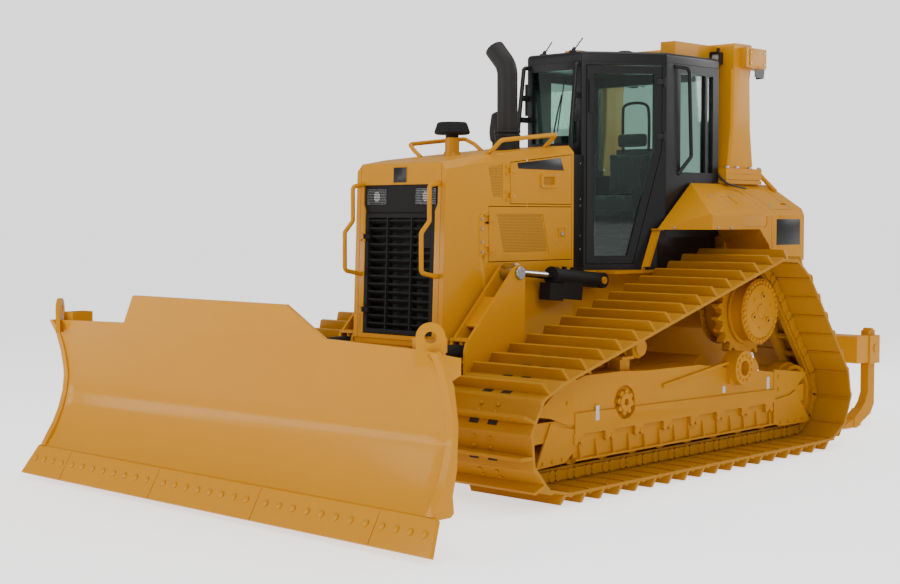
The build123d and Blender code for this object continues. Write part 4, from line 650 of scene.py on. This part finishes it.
# ---------------------------------------------------------------- tracks
SHOES = 46
TRACK_MID = 1.080
WHEELS = ((-1.050, 1.130, 0.35561), (1.620, 0.436, 0.302), (-1.670, 0.436, 0.302))   # x, z, pin line's radius
SHOE_FACE = 0.064        # from the pin line out to a shoe's face
RAIL_FACE = 0.114        # from the track's middle to a chain rail's outer face
# places on a shoe: shares of the pitch ahead of its rear pin, and distances off the track's middle
BOLT_ROWS, BOLT_OFFS = (0.27, 0.55), (-0.072, 0.072)
MUD_HOLE_ROWS, MUD_HOLE_OFFS = (0.915,), (-0.080, 0.080)
SEAM_ROWS, SEAM_OFF, SEAM_LIFT = (0.995,), 0.265, -0.0205


def pin_loop():
    """The pins on the loop round the sprocket and idlers, one after the other, and their pitch."""
    leave = []
    for (x0, z0, r0), (x1, z1, r1) in zip(WHEELS, WHEELS[1:] + WHEELS[:1]):
        lean = (r0 - r1) / math.hypot(x1 - x0, z1 - z0)
        leave.append(math.atan2(z1 - z0, x1 - x0) + math.pi / 2 - lean)
    line = []
    for i, (x, z, r) in enumerate(WHEELS):
        arrive, depart = leave[i - 1], leave[i]
        while depart > arrive:
            depart -= 2 * math.pi
        steps = max(1, round((arrive - depart) / math.radians(3)))
        for k in range(steps + 1):
            a = arrive + (depart - arrive) * k / steps
            line.append(Vector((x + r * math.cos(a), 0, z + r * math.sin(a))))
    runs = list(zip(line, line[1:] + line[:1]))
    pitch = sum((b - a).length for a, b in runs) / SHOES
    pins = []
    for k in range(SHOES):
        distance = k * pitch
        for a, b in runs:
            run = (b - a).length
            if distance <= run:
                pins.append(a + (b - a) * (distance / run))
                break
            distance -= run
    return pins, pitch


PINS, PITCH = pin_loop()


def shoe_places(shares, offs, side, lift=0.0):
    """Places on the outer faces of one track's shoes: shares of the pitch by distances off its middle."""
    places = []
    for rear, front in zip(PINS, PINS[1:] + PINS[:1]):
        along = (front - rear).normalized()
        out = Vector((-along.z, 0, along.x))
        for share in shares:
            for off in offs:
                point = rear + along * (share * PITCH) + out * (SHOE_FACE + lift)
                places.append((point + Vector((0, side * TRACK_MID + off, 0)), out, along))
    return places


for side, hand in SIDES:
    bolts(f"shoe_bolts_{hand}", shoe_places(BOLT_ROWS, BOLT_OFFS, side), "tractor", YELLOW_TRACK,
          "painted_yellow", radius=0.0145, height=0.013, crown=0.55, sides=8)
    # the mud holes are dark tiles of painted shade
    repeated(f"mud_holes_{hand}", TILES, shoe_places(MUD_HOLE_ROWS, MUD_HOLE_OFFS, side), "tractor",
             "painted_black", Length=0.034, Width=0.078, Height=0.004, Material=HOLE)


def link_places(off, facing):
    """The middles of one track's links beside a rail, a little inside the pin line."""
    drop = 0.004
    places = []
    for rear, front in zip(PINS, PINS[1:] + PINS[:1]):
        along = (front - rear).normalized()
        middle = (rear + front) / 2 - Vector((-along.z, 0, along.x)) * drop
        places.append((middle + Vector((0, off, 0)), (0, facing, 0), along))
    return places


def link_tree():
    """A link's side plate with round ends and a raised eye at each."""
    tree, given, out = geometry_tree("link_plates", (
        ("Length", "NodeSocketFloat"), ("Width", "NodeSocketFloat"), ("Height", "NodeSocketFloat"),
        ("Material", "NodeSocketMaterial")))
    joined = tree.nodes.new("GeometryNodeJoinGeometry")
    size = tree.nodes.new("ShaderNodeCombineXYZ")
    for label, axis in (("Length", "X"), ("Width", "Y"), ("Height", "Z")):
        tree.links.new(given.outputs[label], size.inputs[axis])
    web = tree.nodes.new("GeometryNodeMeshCube")
    tree.links.new(size.outputs[0], web.inputs["Size"])
    tree.links.new(web.outputs["Mesh"], joined.inputs["Geometry"])
    end_radius = math_node(tree, "MULTIPLY", given.outputs["Width"], 0.58)
    end_height = math_node(tree, "MULTIPLY", given.outputs["Height"], 1.5)
    for share in (-0.5, 0.5):
        eye = tree.nodes.new("GeometryNodeMeshCylinder")
        eye.inputs["Vertices"].default_value = 14
        tree.links.new(end_radius, eye.inputs["Radius"])
        tree.links.new(end_height, eye.inputs["Depth"])
        place = tree.nodes.new("ShaderNodeCombineXYZ")
        tree.links.new(math_node(tree, "MULTIPLY", given.outputs["Length"], share), place.inputs["X"])
        shift = tree.nodes.new("GeometryNodeTransform")
        tree.links.new(eye.outputs["Mesh"], shift.inputs["Geometry"])
        tree.links.new(place.outputs[0], shift.inputs["Translation"])
        tree.links.new(shift.outputs["Geometry"], joined.inputs["Geometry"])
    stood_on_points(tree, given, out, joined.outputs["Geometry"])
    return tree


LINKS = link_tree()
for side, hand in SIDES:
    mid = side * TRACK_MID
    places = link_places(mid + RAIL_FACE, 1) + link_places(mid - RAIL_FACE, -1)
    repeated(f"link_plates_{hand}", LINKS, places, "tractor", "painted_yellow", Length=0.128, Width=0.066,
             Height=0.018, Material=YELLOW_TRACK)
    for label, off in (("out", SEAM_OFF), ("in", -SEAM_OFF)):
        seams = shoe_places(SEAM_ROWS, (off,), side, SEAM_LIFT)
        inward = [(point, -out, along) for point, out, along in seams]
        repeated(f"shoe_gaps_{hand}_{label}", TILES, inward, "tractor", "painted_yellow", Length=0.016,
                 Width=0.300, Height=0.012, Material=YELLOW_TRACK)

# ---------------------------------------------------------------- final drives and track frames
HUB = WHEELS[0][:2]
BOSS = (-0.720, 0.715)
GUARD_SPOTS = ((1.37, 0.252), (1.47, 0.248), (1.57, 0.244), (-1.36, 0.236), (-1.47, 0.234), (-1.58, 0.232),
               (-1.69, 0.230), (1.32, 0.62), (-1.32, 0.60), (-1.32, 0.50))
BLANK_PLATES = (
    # name, x, z, width, height
    ("front", 1.000, 0.530, 0.038, 0.100),
    ("middle", -0.560, 0.560, 0.036, 0.048),
    ("rear", -1.180, 0.560, 0.036, 0.095),
)
FLANGE_BESIDE = 0.96        # between the hub's rim and the flange behind it
DRIVES = surface("final_drives")
for side, hand in SIDES:
    rim = seated_beside(DRIVES, side, ring_spots(*HUB, 0.229, 32), SUNK)
    cast_bolts(f"hub_bolts_{hand}", rim, radius=0.0165, height=0.014, crown=0.6, sides=10)
    behind_rim = [(x, side * FLANGE_BESIDE, z) for x, z in ring_spots(*HUB, 0.258, 30)]
    flange = seated(DRIVES, behind_rim, (0, -side, 0), SUNK)
    cast_bolts(f"flange_bolts_{hand}", flange, radius=0.013, height=0.012, crown=0.7)
    plugs = seated_beside(DRIVES, side, ring_spots(*HUB, 0.118, 3, 1.75), SUNK)
    cast_bolts(f"hub_plugs_{hand}", plugs, radius=0.030, height=0.010, crown=0.86, sides=18)
    # the plug sockets are dark discs of painted shade
    sockets = [(point + facing * 0.0095, facing) for point, facing in plugs]
    bolts(f"plug_sockets_{hand}", sockets, "tractor", HOLE, "painted_black", radius=0.012, height=0.002,
          crown=0.95)
    screws = seated_beside(DRIVES, side, ring_spots(*HUB, 0.135, 3, 0.75), SUNK)
    cast_bolts(f"hub_screws_{hand}", screws, radius=0.012, height=0.008)
    track_frame = surface(f"track_frame_{hand}")
    boss = seated_beside(track_frame, side, ring_spots(*BOSS, 0.094, 12, 0.2), SUNK)
    cast_bolts(f"boss_bolts_{hand}", boss, radius=0.0125, height=0.011, crown=0.7)
    cast_bolts(f"guard_bolts_{hand}", seated_beside(track_frame, side, GUARD_SPOTS, SUNK), radius=0.0125,
               height=0.010)
    for label, x, z, width, height in BLANK_PLATES:
        wall = seated_beside(track_frame, side, [(x, z)])[0][0].y
        left, right, foot, top = x - width / 2, x + width / 2, z - height / 2, z + height / 2
        side_plate(f"blank_plate_{label}_{hand}", [(left, foot), (right, foot), (right, top), (left, top)],
                   side, wall, 0.0015, "tractor", PANEL_GREY, 0)


# ---------------------------------------------------------------- blade
EDGE_ROWS = (
    # from y, to y, bolts
    (-1.93, -1.60, 4),
    (-1.47, -0.60, 8),
    (-0.42, 0.42, 8),
    (0.60, 1.47, 8),
    (1.60, 1.93, 4),
)
before_edge, bolt_height = 3.9, 0.150
edge_spots = []
for low, high, count in EDGE_ROWS:
    edge_spots += [(before_edge, low + (high - low) * k / (count - 1), bolt_height) for k in range(count)]
bolts("edge_bolts", seated(surface("cutting_edge"), edge_spots, (-1, 0, 0), SUNK), "blade", YELLOW,
      "painted_yellow", radius=0.021, height=0.011, crown=0.55, sides=14)

# ---------------------------------------------------------------- hood and guard
GUARD = surface("radiator_guard")
HINGE_HEIGHTS = (1.845, 1.775, 1.684, 1.614)
GUARD_RIVETS = ((1.315, 2.17), (1.315, 2.05), (1.235, 1.50), (1.235, 1.12), (1.60, 1.12))
LATCH_CORNERS = ((0.335, 1.79), (0.335, 1.678), (0.470, 1.79), (0.470, 1.678))
BEZEL_SCREWS = ((0.462, 2.165), (0.612, 2.082))
for side, hand in SIDES:
    low_door, high_door = f"engine_door_{hand}", f"upper_door_{hand}"
    hinge_spots = [(1.274, z) for z in HINGE_HEIGHTS]
    steel_bolts(f"hinge_bolts_{hand}", seated_beside(GUARD, side, hinge_spots, SUNK))
    bolts(f"guard_rivets_{hand}", seated_beside(GUARD, side, GUARD_RIVETS, SUNK), "tractor", YELLOW,
          "painted_yellow", radius=0.008, height=0.004, crown=0.6, sides=10)
    steel_bolts(f"latch_rivets_{hand}", seated_beside(surface(low_door), side, LATCH_CORNERS, BARELY_SUNK),
                low_door, radius=0.005, height=0.003, crown=0.6, sides=8)
    steel_bolts(f"latch_key_{hand}", seated_beside(surface(low_door), side, [(0.384, 1.733)], SUNK),
                low_door, radius=0.016, height=0.008, crown=0.7, sides=16)
    steel_bolts(f"bezel_screws_{hand}", seated_beside(surface(high_door), side, BEZEL_SCREWS, BARELY_SUNK),
                high_door, radius=0.007, height=0.004)


def inside(point, outline):
    """Whether a point lies inside an outline, both in two numbers."""
    x, z = point
    hit = False
    for (x0, z0), (x1, z1) in zip(outline, outline[1:] + outline[:1]):
        if (z0 > z) != (z1 > z) and x < (x1 - x0) * (z - z0) / (z1 - z0) + x0:
            hit = not hit
    return hit


def pierced(outline, pitch, margin):
    """Staggered hole places inside an outline of (x, z), kept off its rim."""
    middle = (sum(x for x, _ in outline) / len(outline), sum(z for _, z in outline) / len(outline))
    shrunk = [(x + (middle[0] - x) * margin, z + (middle[1] - z) * margin) for x, z in outline]
    x_low, z_low = min(x for x, _ in shrunk), min(z for _, z in shrunk)
    x_high, z_high = max(x for x, _ in shrunk), max(z for _, z in shrunk)
    row_rise = pitch * 0.866        # rows of an even triangle
    places = []
    for row in range(int((z_high - z_low) / row_rise) + 1):
        z = z_low + row * row_rise
        for column in range(int((x_high - x_low) / pitch) + 1):
            x = x_low + (column + 0.5 * (row % 2)) * pitch
            if inside((x, z), shrunk):
                places.append((x, z))
    return places


BIG_MESH = [(1.122, 1.880), (0.605, 1.880), (0.536, 1.594), (1.046, 1.596)]
SMALL_MESH = [(1.207, 2.216), (1.048, 2.241), (1.047, 1.986), (1.154, 1.985)]
BEZEL_MESH = [(0.600, 2.148), (0.488, 2.151), (0.488, 2.095), (0.600, 2.092)]
for side, hand in SIDES:
    low_door, high_door = f"engine_door_{hand}", f"upper_door_{hand}"
    for label, outline, node, body, pitch, margin in (
            ("door", BIG_MESH, low_door, low_door, 0.0125, 0.05),
            ("hood", SMALL_MESH, "hood", "tractor", 0.0125, 0.08),
            ("inlet", BEZEL_MESH, high_door, high_door, 0.010, 0.06)):
        # the mesh holes are dark discs of painted shade
        holes = seated_beside(surface(node), side, pierced(outline, pitch, margin), LIFTED)
        bolts(f"{label}_mesh_holes_{hand}", holes, body, MESH_HOLE, "painted_black", radius=pitch * 0.30,
              height=0.0006, crown=0.98)

# the front badge lies on the guard's raked face, from z_low to z_high
half_width, z_low, z_high = 0.063, 2.101, 2.205
(low_hit, _), (high_hit, _) = seated(GUARD, [(AHEAD, 0.060, 2.105), (AHEAD, 0.060, 2.200)], (-1, 0, 0))
x_low, x_high = low_hit.x + 0.0004, high_hit.x
plate("front_blank_badge", [(x_low, -half_width, z_low), (x_low, half_width, z_low),
                            (x_high, half_width, z_high), (x_high, -half_width, z_high)],
      0.002, "tractor", BLACK)

# ---------------------------------------------------------------- badges and bolts down both sides
HOOD_FACE = 0.442        # the high doors' outer faces
HOOD_BADGE = ((0.894, 2.244), (0.404, 2.296), (0.368, 2.202), (0.883, 2.205))
TANK_BADGE = ((-1.520, 1.842), (-1.880, 1.842), (-1.880, 1.634), (-1.520, 1.634))
TANK_BOLTS = ((-0.50, 1.775), (-0.68, 1.775), (-0.86, 1.775))
TANK_KEYS = ((-0.93, 0.86), (-1.20, 0.86), (-1.60, 0.98), (-1.88, 0.98))
POST_BOLTS = ((-1.835, 0.525), (-1.835, 0.735), (-1.70, 0.735), (-1.50, 0.735), (-1.355, 0.735),
              (-1.355, 0.525))
POST_FOOT_TOP = 2.3
CONTROL_BOX_BOLTS = ((-1.80, 3.20), (-1.60, 3.20), (-1.80, 3.11), (-1.60, 3.11))
COWL_BOLTS = ((0.05, 2.265), (0.05, 1.993), (0.05, 1.944), (0.05, 1.717), (0.05, 1.614))
POSTS = surface("rops_frame")
for side, hand in SIDES:
    side_plate(f"hood_blank_badge_{hand}", HOOD_BADGE, side, side * HOOD_FACE, 0.0012,
               f"upper_door_{hand}", BLACK)
    tank = surface(f"side_tank_{hand}")
    wall = seated_beside(tank, side, [(-1.70, 1.735)])[0][0].y
    side_plate(f"tank_blank_badge_{hand}", TANK_BADGE, side, wall, 0.0015, "tractor", BLACK)
    steel_bolts(f"tank_bolts_{hand}", seated_beside(tank, side, TANK_BOLTS, SUNK))
    tops = [(x, side * y, ABOVE) for x, y in TANK_KEYS]
    steel_bolts(f"tank_keys_{hand}", seated(tank, tops, (0, 0, -1), SUNK), heading=(1, 0, 0),
                radius=0.013, height=0.007, sides=12)
    tops = [(x, side * y, ABOVE) for x, y in POST_BOLTS]
    feet = [found for found in seated(POSTS, tops, (0, 0, -1), SUNK) if found[0].z < POST_FOOT_TOP]
    steel_bolts(f"roll_post_bolts_{hand}", feet, heading=(1, 0, 0), radius=0.018, height=0.016, crown=0.85)
    steel_bolts(f"control_box_bolts_{hand}", seated_beside(POSTS, side, CONTROL_BOX_BOLTS, SUNK),
                radius=0.009, height=0.007)
    steel_bolts(f"cowl_bolts_{hand}", seated_beside(surface("cowl"), side, COWL_BOLTS, BARELY_SUNK),
                radius=0.008, height=0.005)

# ---------------------------------------------------------------- lift tower pins
TOWER_PIN = (1.100, 1.467)
CAP_RING = [(0.026 * math.cos(turn), 0.026 * math.sin(turn)) for turn in (0.6, 2.17, 3.74, 5.31)]
for side, hand in SIDES:
    head, facing = seated_beside(surface("c_frame"), side, [TOWER_PIN], SUNK)[0]
    steel_bolts(f"tower_pin_{hand}", [(head, facing)], "blade_arms", radius=0.046, height=0.012,
                crown=0.92, sides=28)
    caps = [(head + Vector((x, 0, z)) + facing * 0.011, facing) for x, z in CAP_RING]
    steel_bolts(f"tower_pin_bolts_{hand}", caps, "blade_arms", radius=0.008, height=0.006)

# ---------------------------------------------------------------- lamps
LAMP_PITCH = 0.0115
LAMP_MIDDLE, LAMP_RADIUS = (0.2425, 2.002), 0.034
for side, hand in SIDES:
    bright, dim = [], []
    for row in range(10):
        for column in range(17):
            y, z = 0.150 + column * LAMP_PITCH, 1.950 + row * LAMP_PITCH
            near = math.dist((y, z), LAMP_MIDDLE) < LAMP_RADIUS
            (bright if near else dim).append((AHEAD, side * y, z))
    for label, spots, material, radius in (("bright", bright, REFLECTOR, 0.0036),
                                           ("dim", dim, STEEL, 0.0022)):
        holes = seated(surface("lamp_panel"), spots, (-1, 0, 0), LIFTED)
        bolts(f"lamp_guard_holes_{label}_{hand}", holes, "tractor", material, "chrome_rod", radius=radius,
              height=0.0006, crown=0.98)

ROOF_LAMP = (0.610, 3.145)        # y, z of its middle
for side, hand in SIDES:
    y, z = side * ROOF_LAMP[0], ROOF_LAMP[1]
    x = seated(surface("work_lamps"), [(0.5, y, z)], (-1, 0, 0))[0][0].x
    outline = ((y - 0.034, z - 0.030), (y + 0.034, z - 0.030), (y + 0.034, z + 0.030), (y - 0.034, z + 0.030))
    plate(f"roof_lamp_reflector_{hand}", [(x, *corner) for corner in outline], 0.004, "tractor", REFLECTOR)
    plate(f"roof_lamp_lens_{hand}", [(x + 0.006, *corner) for corner in outline], 0.003, "tractor", LENS)


# ---------------------------------------------------------------- seat and cab fittings
def rounded_block(low, high, radius):
    """A block with rounded edges, as a bmesh."""
    bm = bmesh.new()
    bmesh.ops.create_cube(bm, size=1.0)
    for vert in bm.verts:
        vert.co = Vector(((low[i] + high[i]) / 2 + vert.co[i] * (high[i] - low[i]) for i in range(3)))
    bmesh.ops.bevel(bm, geom=bm.edges[:], offset=radius, segments=3, affect="EDGES", profile=0.5)
    bmesh.ops.recalc_face_normals(bm, faces=bm.faces)
    return bm


def settle(thing):
    """Make what the modifiers give the object's own mesh and drop them."""
    mesh = evaluated(thing)
    old = thing.data
    thing.modifiers.clear()
    thing.data = mesh
    bpy.data.meshes.remove(old)


def swelled(pad, cap):
    """Blow a pad up with cloth pressure, no point moving further than the cap."""
    before = [v.co.copy() for v in pad.data.vertices]
    cloth = pad.modifiers.new("swell", "CLOTH")
    cloth.settings.use_pressure = True
    cloth.settings.uniform_pressure_force = 4.0
    cloth.settings.effector_weights.gravity = 0.0
    cloth.settings.quality = 5
    scene = bpy.context.scene
    for frame_number in range(1, 16):
        scene.frame_set(frame_number)
    depsgraph = bpy.context.evaluated_depsgraph_get()
    after = [v.co.copy() for v in pad.evaluated_get(depsgraph).data.vertices]
    pad.modifiers.clear()
    scene.frame_set(1)
    for vert, old, new in zip(pad.data.vertices, before, after):
        step = new - old
        vert.co = old + step * min(1.0, cap / max(step.length, 1e-6))


def crowned(pad, low, high, channels):
    """Crown a pad's two broad faces and press sewn channels into them."""
    crown_height, channel_depth, channel_width = 0.010, 0.007, 0.05
    centre = [(a + b) / 2 for a, b in zip(low, high)]
    half = [(b - a) / 2 for a, b in zip(low, high)]
    thin = min(range(3), key=lambda i: half[i])
    for vert in pad.data.vertices:
        u = [(vert.co[i] - centre[i]) / half[i] for i in range(3)]
        first, second = [u[i] for i in range(3) if i != thin]
        crown = crown_height * (1 - min(1, first ** 2)) * (1 - min(1, second ** 2))
        groove = sum(channel_depth * math.exp(-((u[1] - place) / channel_width) ** 2) for place in channels)
        if abs(u[thin]) > 0.5:
            vert.co[thin] += math.copysign(crown - groove, u[thin])


SEAT_X = (-1.118, -0.602)        # the CAD seat's reach, which the pads stay inside
SEAT_Y = (-0.249, 0.249)


def cushion(name, low, high, channels=(), cap=0.018):
    """A stuffed pad: a block swelled by cloth pressure, then crowned and channelled across."""
    inset = 0.012
    block = rounded_block([v + inset for v in low], [v - inset for v in high], 0.022)
    pad = bpy.data.objects.new(name, mesh_of(name, block))
    bpy.context.scene.collection.objects.link(pad)
    remesh = pad.modifiers.new("even", "REMESH")
    remesh.mode = "VOXEL"
    remesh.voxel_size = 0.0095
    settle(pad)
    swelled(pad, cap)
    crowned(pad, low, high, channels)
    for vert in pad.data.vertices:
        vert.co.x = min(max(vert.co.x, SEAT_X[0]), SEAT_X[1])
        vert.co.y = min(max(vert.co.y, SEAT_Y[0]), SEAT_Y[1])
    smooth = pad.modifiers.new("soft", "SUBSURF")
    smooth.levels = 1
    smooth.render_levels = 1
    settle(pad)
    mesh = pad.data
    mesh.name = name + "_cover"
    bpy.data.objects.remove(pad)
    piece = finished(name, mesh, SEAT_CLOTH, "tractor", 0)
    mesh.shade_smooth()
    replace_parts(piece, "seat")


cushion("seat_cushion", (-1.090, -0.245, 1.905), (-0.610, 0.245, 2.020), channels=(-0.45, 0.45))
cushion("seat_back", (-1.115, -0.235, 2.025), (-1.010, 0.235, 2.400), channels=(-0.45, 0.45))
cushion("seat_headrest", (-1.110, -0.150, 2.425), (-1.025, 0.150, 2.555), cap=0.010)


def stacked_ribs(name, low, high, count, inset, material):
    """A folded rubber boot: ribs stacked between two heights."""
    bm = bmesh.new()
    rise = (high[2] - low[2]) / count
    rings = []
    for k in range(2 * count + 1):
        pull = inset if k % 2 else 0.0
        z = low[2] + rise * k / 2
        rings.append([bm.verts.new((x, y, z)) for x, y in (
            (low[0] + pull, low[1] + pull), (high[0] - pull, low[1] + pull),
            (high[0] - pull, high[1] - pull), (low[0] + pull, high[1] - pull))])
    for lower, upper in zip(rings, rings[1:]):
        for i in range(4):
            bm.faces.new((lower[i], lower[i - 3], upper[i - 3], upper[i]))
    bm.faces.new(rings[0][::-1])
    bm.faces.new(rings[-1])
    bmesh.ops.recalc_face_normals(bm, faces=bm.faces)
    return finished(name, mesh_of(name, bm), material, "tractor", 20)


boot = stacked_ribs("seat_boot", (-1.04, -0.19, 1.56), (-0.68, 0.19, 1.87), 7, 0.022, RUBBER)
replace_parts(boot, "seat")
for name, low, high in (("seat_foot", (-1.07, -0.22, 1.492), (-0.65, 0.22, 1.562)),
                        ("seat_pan", (-1.09, -0.235, 1.866), (-0.615, 0.235, 1.906)),
                        ("seat_shell", (-1.119, -0.20, 2.02), (-1.112, 0.20, 2.42))):
    shape = mesh_of(name, rounded_block(low, high, 0.003))
    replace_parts(finished(name, shape, TRIM, "tractor"), "seat")

HOOP_RUN = ((-1.115, -0.13, 2.40), (-1.118, -0.14, 2.72), (-1.10, -0.11, 2.80), (-1.10, 0.11, 2.80),
            (-1.118, 0.14, 2.72), (-1.115, 0.13, 2.40))
WIPER_ARM_RUN = ((-0.012, 0.02, 2.45), (-0.012, 0.05, 2.62), (-0.012, 0.11, 2.80))
WIPER_BLADE_RUN = ((-0.020, 0.06, 2.52), (-0.020, 0.09, 2.70), (-0.020, 0.13, 2.92))
MIRROR_ARM_RUN = ((-0.20, 0.18, 3.045), (-0.20, 0.18, 2.96), (-0.20, 0.17, 2.90))
POST_CABLE_RUN = ((-1.345, 0.60, 2.30), (-1.315, 0.66, 2.22), (-1.315, 0.74, 2.14), (-1.36, 0.80, 2.105),
                  (-1.50, 0.82, 2.09))
for name, run, radius, material, slot in (
        ("headrest_hoop", HOOP_RUN, 0.012, BLACK_MATT, "painted_black"),
        ("wiper_arm", WIPER_ARM_RUN, 0.006, BLACK_MATT, "painted_black"),
        ("wiper_blade", WIPER_BLADE_RUN, 0.005, RUBBER, "cab_trim"),
        ("mirror_arm", MIRROR_ARM_RUN, 0.006, BLACK_MATT, "painted_black")):
    tube(name, run, radius, "tractor", material)
mirror = mesh_of("mirror_head", rounded_block((-0.215, 0.145, 2.77), (-0.190, 0.195, 2.90), 0.006))
finished("mirror_head", mirror, BLACK_MATT, "tractor")
for side, hand in SIDES:
    run = [(x, side * y, z) for x, y, z in POST_CABLE_RUN]
    tube(f"post_cable_{hand}", run, 0.008, "tractor", HOSE)
